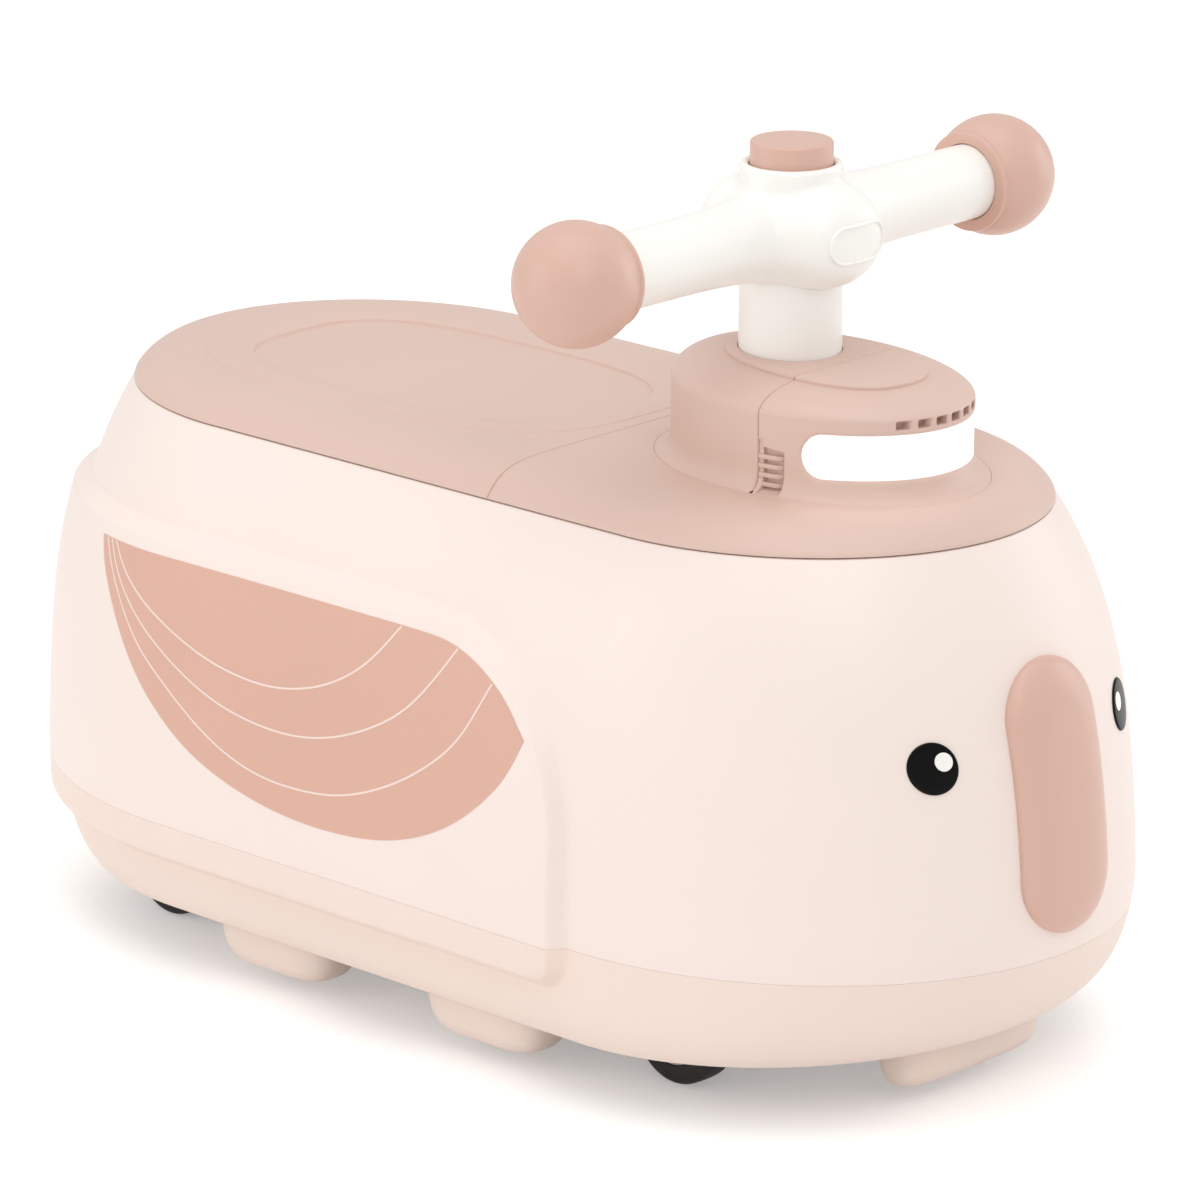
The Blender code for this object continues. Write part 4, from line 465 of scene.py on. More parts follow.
def makeChassis():
    body, form = bodyForm, chassisForm
    seam, base, wall, foot = body.seamHeight - body.seamGap, body.baseHeight, body.wall, body.panelFoot
    corner = body.panelFootRadius * (1 - np.cos(cornerTurns(body.panelFootRadius, 12, 10)))
    climb = np.r_[foot - (foot - base) * np.sin(quarter(16))[::-1], foot + corner, form.sideSteps,
                  seam - body.seamEdge]
    lap, lapTop = wall + form.lapGap, seam + form.lapRise
    rows = np.concatenate([
        [(form.floor, 2 * form.lip), (base + form.lipRise, form.lip), (base, form.lip - form.lipEdge)],
        np.c_[climb, 0 * climb], seamRows(seam, -1),
        [(seam, lap), (lapTop, lap), (lapTop, lap + form.lapWidth), (seam - form.lapFoot, lap + form.lapWidth),
         (seam - 2 * form.lapFoot, wall), (0.0645, wall), (foot, wall), (0.049, wall), (form.floorTop, wall)]])
    chassis = ringSolid("chassisShell", bodyGrid(rows))
    feet = [footSolid(f"foot{i}{s}", x, s * form.footY, form.footLength, form.footWidth)
            for i, x in enumerate(form.sideFeet) for s in (-1, 1)]
    feet += [footSolid(f"endFoot{i}", x, 0, form.endLength, form.endWidth) for i, x in enumerate(form.endFeet)]
    x, half, low, top = form.steerX, form.rearHalf, form.middle, form.wellTop
    walls = [flatDrum("wellWall", form.wellRadius + wall, low, top + wall, form.wellFront + wall),
             rod("boss", (x, 0, top + form.bossSink), (x, 0, form.bossTop), form.bossRadius + wall)]
    rooms = [flatDrum("wellRoom", form.wellRadius, 0, top, form.wellFront),
             rod("bushBore", (x, 0, 0.05), (x, 0, 0.09), form.bushBore)]
    x, saddles = form.rearX, []
    for s in (-1, 1):
        near, far = sorted((s * form.rearInner, s * form.rearOuter))
        walls.append(block(f"rearWall{s}", (x - half - wall, near - wall, low),
                           (x + half + wall, far + wall, top + wall)))
        rooms.append(block(f"rearRoom{s}", (x - half, near, 0), (x + half, far, top)))
        near, far = sorted((s * (form.rearInner - form.saddleSink), s * (form.rearInner - form.saddle)))
        saddles.append(block(f"saddle{s}", (x - form.saddleHalf, near, form.saddleFoot),
                             (x + form.saddleHalf, far, low)))
    carve(chassis, "UNION", *feet, *walls)
    carve(chassis, "DIFFERENCE", *rooms)
    carve(chassis, "UNION", *saddles)
    carve(chassis, "DIFFERENCE", rod("axleBore", (x, -0.1, form.axleZ), (x, 0.1, form.axleZ), form.axleBore))
    finishPiece(chassis, "peach_plastic", "body", "lower_chassis")


makeChassis()
print("stage: chassis")

topForm = Settings(
    foot=0.2718, edgeRise=0.0009, shoulder=0.0142, fall=0.0095, split=0.049, splitGap=0.00015, edge=0.0009,
    skirtInset=0.0036, skirtDepth=0.004, skirtThick=0.0018, wall=0.003,
    edgeSteps=(0, 0.00012, 0.0003, 0.00055, 0.0009, 0.0014, 0.0022),
)


def outsideRim(x, y, inset=0.0):
    form = bodyForm
    ahead = np.maximum(np.abs(x) - form.halfStraight, 0)
    reach = np.where(x > 0, form.noseReach, form.tailReach)
    return ((ahead / np.maximum(reach - inset, 1e-6)) ** form.rimRound
            + (np.abs(y) / np.maximum(form.halfWidth - inset, 1e-6)) ** form.rimRound) > 1


def rimInset(x, y):
    # distance in from the rim: the inset whose outline passes through the point
    return halved(lambda inset: ~outsideRim(x, y, inset), np.full_like(x, bodyForm.halfWidth), 32)


def rimReach(centre, angle):
    # distance from a point on the middle line to the rim along each direction
    return halved(lambda reach: ~outsideRim(centre + reach * np.cos(angle), reach * np.sin(angle)),
                  np.full_like(angle, 0.6), 40)


def topHeight(x, y):
    return topForm.foot + topForm.edgeRise + topForm.shoulder * (1 - np.exp(-rimInset(x, y) / topForm.fall))


def edgeDrop(depth, radius):
    # quarter circle by which a surface falls towards its edge
    short = np.clip(radius - depth, 0, radius)
    return radius - np.sqrt(radius ** 2 - short ** 2)


def coverColumns(centre, plane, columns):
    # directions from a centre that run along the rim and along the split, with a column at each corner
    corner, counts = math.atan2(bodyForm.halfWidth, plane - centre), (columns // 4, columns)
    front, back = counts if plane > centre else counts[::-1]
    angle = np.concatenate([np.linspace(-corner, corner, front, endpoint=False),
                            np.linspace(corner, 2 * np.pi - corner, back, endpoint=False)])
    run, cosine = plane - centre, np.cos(angle)
    toPlane = np.where(run * cosine > 1e-6, run / np.where(np.abs(cosine) < 1e-6, 1e-6, cosine), 9.0)
    return angle, np.minimum(rimReach(centre, angle), toPlane)


def superReach(angle, halfLength, halfWidth, power):
    # how far a superellipse stands from its centre in a direction
    ahead, across = np.abs(np.cos(angle)) / halfLength, np.abs(np.sin(angle)) / halfWidth
    return (ahead ** power + across ** power) ** (-1 / power)


def coverPlacer(centre, plane, angle, room=None):
    # places on a cover by their distance from its centre, at a height or on the top less a drop; the top falls
    # at the rim, at the split and round the room for the housing
    def place(radius, z=None, drop=0.0):
        x, y = centre + radius * np.cos(angle), radius * np.sin(angle)
        if z is None:
            depth = np.minimum(rimInset(x, y), np.maximum((plane - x) * np.sign(plane - centre), 0))
            z = topHeight(x, y) - edgeDrop(depth, topForm.edge) - drop
            if room is not None:
                z = z - edgeDrop(np.maximum(radius - room, 0), houseForm.coverEdge)
        return gridPoints(x, y, z)
    return place


def brimRows(place, reach, last, inner, count):
    # from the foot of the rim over its round edge, then evenly in to an inner line
    steps = [*topForm.edgeSteps, *last]
    rows = [place(reach, topForm.foot)] + [place(reach - step) for step in steps]
    return rows + [place((reach - steps[-1]) * (1 - share) + inner * share) for share in np.linspace(0, 1, count)[1:]]


def skirtRows(place, reach):
    top, outer = topForm, reach - topForm.skirtInset
    return [place(outer, top.foot), place(outer, top.foot - top.skirtDepth),
            place(outer - top.skirtThick, top.foot - top.skirtDepth)], outer - top.skirtThick


# creaseSteps and inside give places off the crease's line with the share of its step, and shares of the underside
dishForm = Settings(
    x=-0.0898, halfLength=0.1085, halfWidth=0.0600, power=3.1, depth=0.0022, rimDrop=0.0007, crease=0.0215,
    step=0.0005, swell=0.6, lip=0.0005, fall=0.0015, sag=0.0004, lead=0.0008, thick=0.0032,
    creaseSteps=((0.0002, 0.1), (0.0, 0.5), (-0.0002, 0.9), (-0.0005, 1.0)),
    inside=(1, 0.96, 0.9, 0.8, 0.6, 0.3, 0.1),
)


def makeSeatLid():
    top, dish, hinge = topForm, dishForm, hingeForm
    plane = top.split - top.splitGap
    angle, reach = coverColumns(dish.x, plane, 300)
    place = coverPlacer(dish.x, plane, angle)
    rim = superReach(angle, dish.halfLength, dish.halfWidth, dish.power)
    crease = superReach(angle, dish.halfLength + dish.crease, dish.halfWidth + dish.crease, dish.power)
    floor = top.foot + top.edgeRise + top.shoulder - dish.rimDrop - dish.depth
    # in from the rim come a small step up at the crease, a gentle fall, and a crisp lip into the shallow dish
    rows = brimRows(place, reach, (0.0035, 0.0052), crease + dish.lead, 14)
    rows += [place(crease + out, drop=-dish.step * share) for out, share in dish.creaseSteps]
    for s in np.linspace(0, 1, 10)[1:]:
        swell = dish.step * (math.sin(math.pi * s) * dish.swell + 1 - s) - dish.fall * s * s
        rows.append(place((crease + dish.creaseSteps[-1][0]) * (1 - s) + (rim + dish.lip) * s, drop=-swell))
    low = rows[-1][:, 2]
    for s in np.linspace(0, 1, 12)[1:]:
        step = s * s * (3 - 2 * s)
        rows.append(place(rim + dish.lip * (1 - 2 * s), low * (1 - step) + floor * step))
    rows += [place((rim - dish.lip) * (1 - s), floor - dish.sag * s ** 0.5) for s in np.linspace(0, 1, 12)[1:-1]]
    skirt, inner = skirtRows(place, reach)
    under = [place(inner * share, drop=top.wall + dish.thick) for share in dish.inside]
    lid = ringSolid("seatLid", rows[::-1] + skirt + under)
    x, z, radius, run = hinge.x, hinge.z, hinge.radius, hinge.run
    width = hinge.middle + hinge.side + 2 * run
    carve(lid, "DIFFERENCE", block("notch", (x - 2 * (radius + run), -width, hinge.notchFoot),
                                   (x + radius + run, width, z + 3 * (radius + run))))
    joined = []
    for s in (-1, 1):
        near, far = sorted((s * (hinge.middle + run), s * (hinge.middle + run + hinge.side)))
        joined += [rod(f"knuckle{s}", (x, near, z), (x, far, z), radius),
                   block(f"neck{s}", (x, near, z + hinge.neckFoot),
                         (x + 2 * radius, far, z + radius - hinge.neckDrop))]
    carve(lid, "UNION", *joined)
    carve(lid, "DIFFERENCE", rod("bore", (x, -width, z), (x, width, z), hinge.bore))
    finishPiece(lid, "dusty_pink_plastic", "seat", "seat_lid", angle=40)


makeSeatLid()

houseForm = Settings(
    x=0.1533, halfLength=0.0786, halfWidth=0.0600, flareLength=0.0880, flareWidth=0.0655, flareTop=0.2978,
    flareEdge=0.0002, flareRun=0.007, recess=0.2805, sink=0.0003, split=0.1665, splitGap=0.00012, splitEdge=0.0008,
    coverGap=0.00008, coverEdge=0.0002, shoulder=0.3235, dome=0.0150, domeReach=0.030, lean=0.0060, wall=0.003,
    leafX=0.1555, leafLength=0.0522, leafWidth=0.035, leafPower=2.3, leafProud=0.0018, leafEdge=0.0012,
    innerEdge=0.0005, columnX=0.133, columnRoom=0.0248, coverBore=0.006, upright=0.004,
    nearSteps=(0, 0.00015, 0.00035, 0.0006, 0.0009, 0.0014, 0.0022), coverSteps=(0.0005, 0.0002, 0.00012, 0.00005, 0),
)


def makeFrontCover():
    top, house = topForm, houseForm
    plane = top.split + top.splitGap
    angle, reach = coverColumns(house.x, plane, 260)
    room = superReach(angle, house.flareLength, house.flareWidth, 2.0) + house.coverGap
    place = coverPlacer(house.x, plane, angle, room)
    wall, floor = top.wall, house.recess

    def bore(z):
        return gridPoints(house.columnX + house.coverBore * np.cos(angle), house.coverBore * np.sin(angle), z)
    skirt, inner = skirtRows(place, reach)
    rows = brimRows(place, reach, (0.0033,), room + 0.0012, 16) + [place(room + step) for step in house.coverSteps]
    rows += [place(room, floor), bore(floor), bore(floor - wall), place(room + wall, floor - wall)]
    rows += [place(np.minimum(room + wall, inner), drop=wall), place(inner, drop=wall), *skirt[::-1]]
    finishPiece(ringSolid("frontCover", rows, loopRows=True), "dusty_pink_plastic", "body", "front_cover", angle=40)


makeFrontCover()
print("stage: lid and cover")

lampForm = Settings(z=0.3068, height=0.0215, reach=0.0736, soft=0.0022, sink=0.0009, thick=0.0012, room=0.00015,
                    outside=0.004, inside=0.006, edge=0.0006, proud=0.0004, start=0.006)

# a table of length measured round the housing's front from its middle, and the distance off the middle there
offTable = houseForm.halfWidth * np.sin(quarter(2000))
roundTable = np.r_[0, np.cumsum(np.hypot(np.diff(houseForm.halfLength * np.cos(quarter(2000))), np.diff(offTable)))]


def lampDistance(y, z):
    radius = lampForm.height / 2
    across = np.maximum(np.interp(np.abs(y), offTable, roundTable) - lampForm.reach + radius, 0)
    return np.hypot(across, z - lampForm.z) - radius


def topAt(x, inset, rise=1.0, proud=0.0):
    # the shoulder and the share of the dome above it, less the lean that grows towards the front
    form = houseForm
    lean = form.lean * (x - form.x + form.halfLength) / (2 * form.halfLength)
    return form.shoulder - inset + (form.dome - lean) * rise + proud


def domeHeight(x, y, inset):
    # a quarter circle's rise over the distance in from the wall
    form = houseForm
    depth = halved(lambda back: ((x - form.x) / (form.halfLength - inset - back)) ** 2
                   + (y / (form.halfWidth - inset - back)) ** 2 <= 1, np.full_like(x, form.domeReach), 30)
    return topAt(x, inset, np.sqrt(1 - (1 - depth / form.domeReach) ** 2))


def houseRow(front, centre, length, width, power=2.0):
    # one half of a superellipse from the split round to the split, with columns that keep their distance from it
    form, sign = houseForm, 1 if front else -1
    plane = form.split + sign * form.splitGap
    near = np.minimum(np.array(form.nearSteps), 0.9 * length)
    ahead = np.clip(sign * (plane + sign * near - centre) / length, -1, 1)
    start = np.arccos(np.sign(ahead) * np.abs(ahead) ** (power / 2))
    turn = np.concatenate([start, start[-1] * (1 - np.linspace(0, 2, 260)[1:-1]), -start[::-1]])
    x = centre + sign * length * superWave(np.cos(turn), power)
    x[:len(near)], x[-len(near):] = plane + sign * near, (plane + sign * near)[::-1]
    return x, width * superWave(np.sin(turn), power), turn


def houseGrid(front, inset=0.0):
    # rows: foot, a flare that turns from level to upright, the wall, the dome as far as the leaf's outline,
    # the leaf's round edge, and its flat in to the middle of the split
    form, sign = houseForm, 1 if front else -1
    length, width = form.halfLength - inset, form.halfWidth - inset
    middle, flare = form.split + sign * form.splitGap, np.sin(np.linspace(0.13, np.pi / 2, 16))
    rows = []
    for index, share in enumerate(np.r_[0, 0, 0.012, 0.03, 0.055, 0.085, flare]):
        wide = 0 if inset else 1 - share
        x, y, turn = houseRow(front, form.x, length + (form.flareLength - form.halfLength) * wide,
                              width + (form.flareWidth - form.halfWidth) * wide)
        low = topHeight(form.x + sign * form.flareLength * np.cos(turn), form.flareWidth * np.sin(turn))
        climb, drop = 1 - np.sqrt(1 - share ** 2), edgeDrop(share * form.flareRun, form.flareEdge)
        rise = low + (form.flareTop - low) * climb - drop
        rows.append(gridPoints(x, y, rise if index else form.recess + form.sink))
    x, y, turn = houseRow(front, form.x, length, width)
    rows += [gridPoints(x, y, z) for z in np.linspace(form.flareTop, form.shoulder - inset, 46)[1:]]
    leaf = np.array([form.leafX, form.leafLength, form.leafWidth, form.leafPower])
    wall = np.array([form.x, length, width, 2.0])
    for share in 1 - np.cos(quarter(34))[1:]:
        x, y, turn = houseRow(front, *(wall * (1 - share) + leaf * share))
        rows.append(gridPoints(x, y, domeHeight(x, y, inset)))
    edge, proud = (form.innerEdge, 0) if inset else (form.leafEdge, form.leafProud)
    for share in (0.5, 1.0):
        rows.append(gridPoints(x, y, rows[-1][:, 2] * (1 - share) + (topAt(x, inset, 1, proud) - edge) * share))
    for bend in quarter(8)[1:]:
        back = edge * (1 - np.cos(bend))
        x, y, turn = houseRow(front, leaf[0], leaf[1] - back, leaf[2] - back, leaf[3])
        rows.append(gridPoints(x, y, topAt(x, inset, 1, proud) - edge * (1 - np.sin(bend))))
    for share in np.linspace(0, 1, 40)[1:]:
        length, width = (max((reach - edge) * (1 - share), 1e-7) for reach in leaf[1:3])
        x, y, turn = houseRow(front, leaf[0] * (1 - share) + middle * share, length, width, leaf[3])
        rows.append(gridPoints(x, y, topAt(x, inset, 1, proud)))
    return np.stack(rows), middle


def gridNormals(points, centre):
    normal = np.cross(np.gradient(points, axis=1), np.gradient(points, axis=0))
    size = np.linalg.norm(normal, axis=-1, keepdims=True)
    normal = np.where(size > 1e-12, normal / np.maximum(size, 1e-12), np.array([0.0, 0.0, 1.0]))
    outward = np.sign((normal * (points - np.array(centre))).sum(axis=-1, keepdims=True))
    return normal * np.where(outward == 0, 1, outward)


def makeHousing(front):
    form, lamp = houseForm, lampForm
    rings, plane = houseGrid(front)
    inner, _ = houseGrid(front, form.wall)
    normal, away = gridNormals(rings, (form.x, 0, 0.300)), np.abs(rings[..., 0] - plane)
    normal[-1] = (0, 0, 1)
    sink = edgeDrop(away, form.splitEdge)
    if front:
        share = np.clip(1 - lampDistance(rings[..., 1], rings[..., 2]) / lamp.soft, 0, 1)
        sink += np.where(rings[..., 0] > form.split + lamp.start, lamp.sink * (1 - np.sqrt(1 - share ** 2)), 0)
    # near the split the surface sinks straight, without moving across it
    normal[..., 0] *= np.clip(away / form.upright - 0.6, 0, 1)
    rows, columns = rings.shape[:2]
    count = rows * columns
    skin, lower = gridFaces(rows, columns, loopColumns=False), gridFaces(2, columns, loopColumns=False)
    faces = [skin, skin + count, np.where(lower >= columns, lower - columns + count, lower)]
    for offset in (0, columns - 1):
        a = np.arange(rows - 1) * columns + offset
        faces.append(np.stack([a, a + columns, a + columns + count, a + count], axis=-1))
    piece = buildMesh("housingFront" if front else "housingRear", np.stack([rings - normal * sink[..., None], inner]),
                      np.concatenate(faces))
    if front:
        radius = lamp.height / 2 + lamp.room
        layers = [(radius * share, lamp.inside) for share in (0, 0.3, 0.6, 1)]
        layers += [(radius * share, -lamp.outside) for share in (1, 0.6, 0.3, 0)]
        carve(piece, "UNION", slotRib())
        slots = [slotTool(index) for index in range(slotForm.count)]
        pockets = [tool for side in (-1, 1) for tool in pocketTools(side)]
        carve(piece, "DIFFERENCE", bentStadium("window", layers), *slots, *pockets)
        carve(piece, "UNION", *[finTool(index, side) for index in range(finForm.count) for side in (-1, 1)])
    else:
        x = form.columnX
        carve(piece, "DIFFERENCE", rod("columnRoom", (x, 0, 0.28), (x, 0, 0.36), form.columnRoom, steps=96))
    finishPiece(piece, "dusty_pink_plastic", "body", "housing_front" if front else "housing_rear", angle=40)


def bentPoint(turn, depth, z):
    # a place a depth under the housing's wall, measured along the wall's own direction
    form = houseForm
    return gridPoints(form.x + (form.halfLength - depth) * np.cos(turn), (form.halfWidth - depth) * np.sin(turn), z)


def bentStadium(name, layers):
    # a lying stadium bent round the housing's front: each layer is a reach from its spine and a depth
    unit, shift = stadium(lampForm.reach - lampForm.height / 2, 40, 80)
    rings = []
    for reach, depth in layers:
        along = shift + reach * unit[:, 0]
        y = np.sign(along) * np.interp(np.abs(along), roundTable, offTable)
        rings.append(bentPoint(np.arcsin(y / houseForm.halfWidth), depth, lampForm.z + reach * unit[:, 1]))
    return ringSolid(name, rings, capped=False)


# grow gives each of a slot's rings its distance outside the wall and how much wider it is
slotForm = Settings(
    count=6, pitch=0.0096, z=0.3220, halfWidth=0.0035, halfHeight=0.00225, radius=0.0010,
    grow=((0.0010, 0.0014), (-0.0007, -0.0003), (-0.0062, -0.0003)),
    ribTop=0.0024, ribDepth=0.0072, ribReach=0.0300, ribLow=0.3187, ribHigh=0.3256,
)


def slotRib():
    # the channels' own block behind the wall, bent as the wall is
    form = slotForm
    turn = np.linspace(-1, 1, 41) * math.asin(form.ribReach / houseForm.halfWidth)
    corners = ((form.ribTop, form.ribLow), (form.ribDepth, form.ribLow), (form.ribDepth, form.ribHigh),
               (form.ribTop, form.ribHigh))
    return ringSolid("slotRib", np.stack([bentPoint(turn, depth, z) for depth, z in corners], axis=1))


def slotTool(index):
    # a rounded rectangle that follows the wall: wide outside, a small slope at the mouth, then straight in
    form, house = slotForm, houseForm
    rings = []
    for outside, grow in form.grow:
        wide, tall = form.halfWidth + grow, form.halfHeight + grow
        outline = softLine([(-wide, -tall), (wide, -tall), (wide, tall), (-wide, tall)], [form.radius + grow] * 4)
        y = (index - (form.count - 1) / 2) * form.pitch + outline[:, 0]
        x = house.x + house.halfLength * np.sqrt(1 - (y / house.halfWidth) ** 2) + outside
        rings.append(gridPoints(x, y, form.z + outline[:, 1]))
    return ringSolid(f"slot{index}", rings)


finForm = Settings(
    count=4, top=0.3037, pitch=0.00435, half=0.00100, start=0.1667, bend=0.1769, end=0.1805, nose=0.0006,
    soft=0.00018, depth=0.0028, strip=0.1690, stripTop=0.3119, stripDepth=0.0011, stripFade=0.003, pocketTop=0.3087,
    slope=0.13, fade=0.2896, foot=0.2869, groove=0.0009, grooveDepth=0.0011, grooveFoot=0.0006, lap=0.0002,
    outside=0.075,
)


def sideWall(x, z):
    # half width of the housing's outside: an ellipse, wider in the flare by how far the flare has turned
    form = houseForm
    low = topHeight(np.full_like(x, form.x), np.full_like(x, form.flareWidth))
    turn = np.clip((form.flareTop - z) / (form.flareTop - low), 0, 1)
    wide = 1 - np.sqrt(1 - turn ** 2)
    length = form.halfLength + (form.flareLength - form.halfLength) * wide
    width = form.halfWidth + (form.flareWidth - form.halfWidth) * wide
    return width * np.sqrt(1 - ((x - form.x) / length) ** 2)


def wallTool(name, side, xs, zs, depthAt, slope=0.0):
    # a block between a place well outside and a surface under the wall; depth is given at each place
    x, z = np.meshgrid(xs, zs)
    z = np.minimum(z, zs[-1] - slope * (x - xs[0]))
    under = sideWall(x, z) - depthAt(x, z)
    rows, columns = x.shape
    points = np.stack([gridPoints(x, side * y, z) for y in (under, finForm.outside)])
    skin, index = gridFaces(rows, columns, loopColumns=False), np.arange(rows * columns).reshape(rows, columns)
    rim = np.concatenate([index[0], index[1:, -1], index[-1, -2::-1], index[-2:0:-1, 0]])
    after = np.roll(rim, -1)
    walls = np.stack([rim, after, after + index.size, rim + index.size], axis=-1)
    return buildMesh(name, points, np.concatenate([skin, skin + index.size, walls]))


def pocketTools(side):
    form, house = finForm, houseForm

    def stripDepth(x, z):
        return form.stripDepth * np.clip((z - form.foot) / form.stripFade, 0, 1)

    def pocketDepth(x, z):
        # the pocket's floor is upright and fades into the flare below
        share = np.clip((form.fade - z) / (form.fade - form.foot), 0, 1) ** 2
        upright = sideWall(x, np.full_like(z, house.flareTop)) - form.depth
        return (sideWall(x, z) - upright) * (1 - share) - form.lap * share

    def grooveDepth(x, z):
        return form.grooveDepth * np.clip((z - form.foot + form.grooveFoot) / (2 * form.grooveFoot), 0, 1)
    strip = wallTool(f"strip{side}", side, np.linspace(house.split - form.lap, form.strip + form.lap, 5),
                     np.linspace(form.foot, form.stripTop, 24), stripDepth)
    heights = np.r_[np.linspace(form.foot, form.fade, 14), np.linspace(form.fade, form.pocketTop, 12)[1:]]
    pocket = wallTool(f"pocket{side}", side, np.linspace(form.strip, form.end, 14), heights, pocketDepth, form.slope)
    groove = wallTool(f"groove{side}", side, np.linspace(form.strip - 0.0001, form.strip + form.groove, 3),
                      np.linspace(form.foot - 0.0005, form.fade + 0.0005, 12), grooveDepth)
    return strip, pocket, groove


def finTool(index, side):
    # a rounded bar along the wall: round at the split, sloped back at its far end
    form, half, soft, turn = finForm, finForm.half, finForm.soft, quarter(4)
    z = form.top - index * form.pitch
    x = np.r_[form.start + form.nose * (1 - np.cos(quarter(6))), np.linspace(form.start + 0.0008, form.bend, 10),
              np.linspace(form.bend, form.end + form.lap, 8)[1:]]
    wall = sideWall(x, np.full_like(x, houseForm.flareTop))
    nose = 1 - np.clip((x - form.start) / form.nose, 0, 1)
    slope = np.maximum(x - form.bend, 0) * form.depth / (form.end - form.bend)
    front = wall - form.nose * (1 - np.sqrt(1 - nose ** 2)) - slope
    rings = []
    for here, far, near in zip(x, wall - form.depth - 0.0001, front):
        near = max(near, far + 2 * soft)
        upper = np.c_[near - soft * (1 - np.sin(turn)), half - soft * (1 - np.cos(turn))]
        outline = np.concatenate([[(far, half)], upper, np.c_[upper[::-1, 0], -upper[::-1, 1]], [(far, -half)]])
        rings.append(gridPoints(here, side * outline[:, 0], z + outline[:, 1]))
    return ringSolid(f"fin{index}{side}", rings)


def makeLens():
    lamp = lampForm
    radius, edge, base, proud = lamp.height / 2, lamp.edge, lamp.sink + lamp.thick, lamp.sink - lamp.proud
    layers = [(0.0, base), (0.5 * radius, base), (radius, base)]
    layers += [(radius - edge * (1 - np.cos(t)), proud + edge * (1 - np.sin(t))) for t in quarter(6)]
    layers += [(radius * share, proud) for share in (0.8, 0.6, 0.4, 0.2, 0.0)]
    finishPiece(bentStadium("lampLens", layers), "lamp_white", "body", "lamp_lens")


makeHousing(False)
makeHousing(True)
makeLens()
print("stage: housing")

barForm = Settings(
    x=0.133, z=0.395, radius=0.018, flare=0.0055, spread=0.036, half=0.1602, hubEnd=0.052, reach=0.07,
    hubLength=0.043, hubWidth=0.032, hubHeight=0.0265, power=3.0, soft=0.007, collarSoft=0.003,
    collarRadius=0.0243, collarTop=0.4270, buttonRoom=0.0200, wellFloor=0.4033,
    columnRadius=0.0243, socket=0.3805, socketGap=0.0003, shaftBore=0.0053, shaftTop=0.3943,
)


def smoothLower(a, b, soft):
    share = np.clip(0.5 + 0.5 * (b - a) / soft, 0, 1)
    return b * (1 - share) + a * share - soft * share * (1 - share)


def hubField(x, y, z):
    # nearness to a rounded barrel, to the flared bar and to the upright collar, melted into each other
    form, power = barForm, barForm.power
    ahead, across = np.abs(x) / form.hubLength, np.hypot(y / form.hubWidth, z / form.hubHeight)
    share = (ahead ** power + across ** power) ** (1 / power)
    barrel = np.sqrt(x * x + y * y + z * z) * (1 - 1 / np.maximum(share, 1e-6))
    bar = np.hypot(x, z) - (form.radius + form.flare * np.exp(-(y / form.spread) ** 2))
    radial, over = np.hypot(x, y) - form.collarRadius, z - (form.collarTop + 0.001 - form.z)
    collar = np.minimum(np.maximum(radial, over), 0) + np.hypot(np.maximum(radial, 0), np.maximum(over, 0))
    collar = np.where(z < 0, np.maximum(collar, -z), collar)
    return smoothLower(smoothLower(barrel, bar, form.soft), collar, form.collarSoft)


def makeHandlebar():
    form, angle = barForm, roundTurns(240)
    outer = np.linspace(form.hubEnd, form.half, 30)[1:]
    y = np.r_[-outer[::-1], np.linspace(-form.hubEnd, form.hubEnd, 170), outer][:, None]
    reach = halved(lambda radius: hubField(radius * np.cos(angle), y + 0 * radius, radius * np.sin(angle)) < 0,
                   np.full((len(y), len(angle)), form.reach), 34)
    bar = ringSolid("handlebar", gridPoints(form.x + reach * np.cos(angle), y, form.z + reach * np.sin(angle)))
    top, room, radius, turn = form.collarTop, form.buttonRoom, form.collarRadius, quarter(8)
    lip = (radius - room) / 2
    inner = np.c_[room + lip * (1 - np.cos(turn)), top - lip * (1 - np.sin(turn))]
    outerLip = np.c_[radius - lip * (1 - np.sin(turn)), top - lip * (1 - np.cos(turn))]
    outerLip[-1] = (radius + 0.0003, top - lip)
    profile = np.concatenate([[(0, form.wellFloor), (room, form.wellFloor)], inner, outerLip,
                              [(0.05, top - lip), (0.05, top + 0.02), (0, top + 0.02)]])
    x, socket = form.x, form.columnRadius + form.socketGap
    carve(bar, "DIFFERENCE", turned("lipTool", profile, (x, 0, 0)))
    carve(bar, "DIFFERENCE", rod("socket", (x, 0, 0.34), (x, 0, form.socket), socket, steps=96))
    carve(bar, "DIFFERENCE", rod("shaftBore", (x, 0, 0.37), (x, 0, form.shaftTop), form.shaftBore))
    finishPiece(bar, "white_plastic", "steering", "handlebar", angle=45)


plateForm = Settings(radius=0.0095, straight=0.00925, ridge=0.0008, height=0.0013, field=0.0002, base=0.0001)


def makePlate():
    # a stadium on the hub's front: a thin raised rim line round a flat field
    form, plate = barForm, plateForm
    radius, ridge, field = plate.radius, plate.ridge, plate.field
    unit, shift = stadium(plate.straight, 28, 20)
    layers = [(share * radius, plate.base) for share in (0.0, 0.4, 0.8, 1.0)]
    layers += [(radius - ridge * (1 - np.cos(t)), field + plate.height * np.sin(t))
               for t in np.linspace(0, np.pi, 12)]
    layers += [((radius - 2 * ridge) * share - 0.0002, field) for share in (1.0, 0.75, 0.5, 0.25)] + [(0.0, field)]
    rings = []
    for reach, proud in layers:
        y, z = shift + reach * unit[:, 0], reach * unit[:, 1]
        share = np.hypot(y / form.hubWidth, z / form.hubHeight)
        x = form.hubLength * (1 - share ** form.power) ** (1 / form.power)
        rings.append(gridPoints(form.x + x + proud, y, form.z + z))
    finishPiece(ringSolid("hubPlate", rings, capped=False), "white_plastic", "steering", "hub_plate")


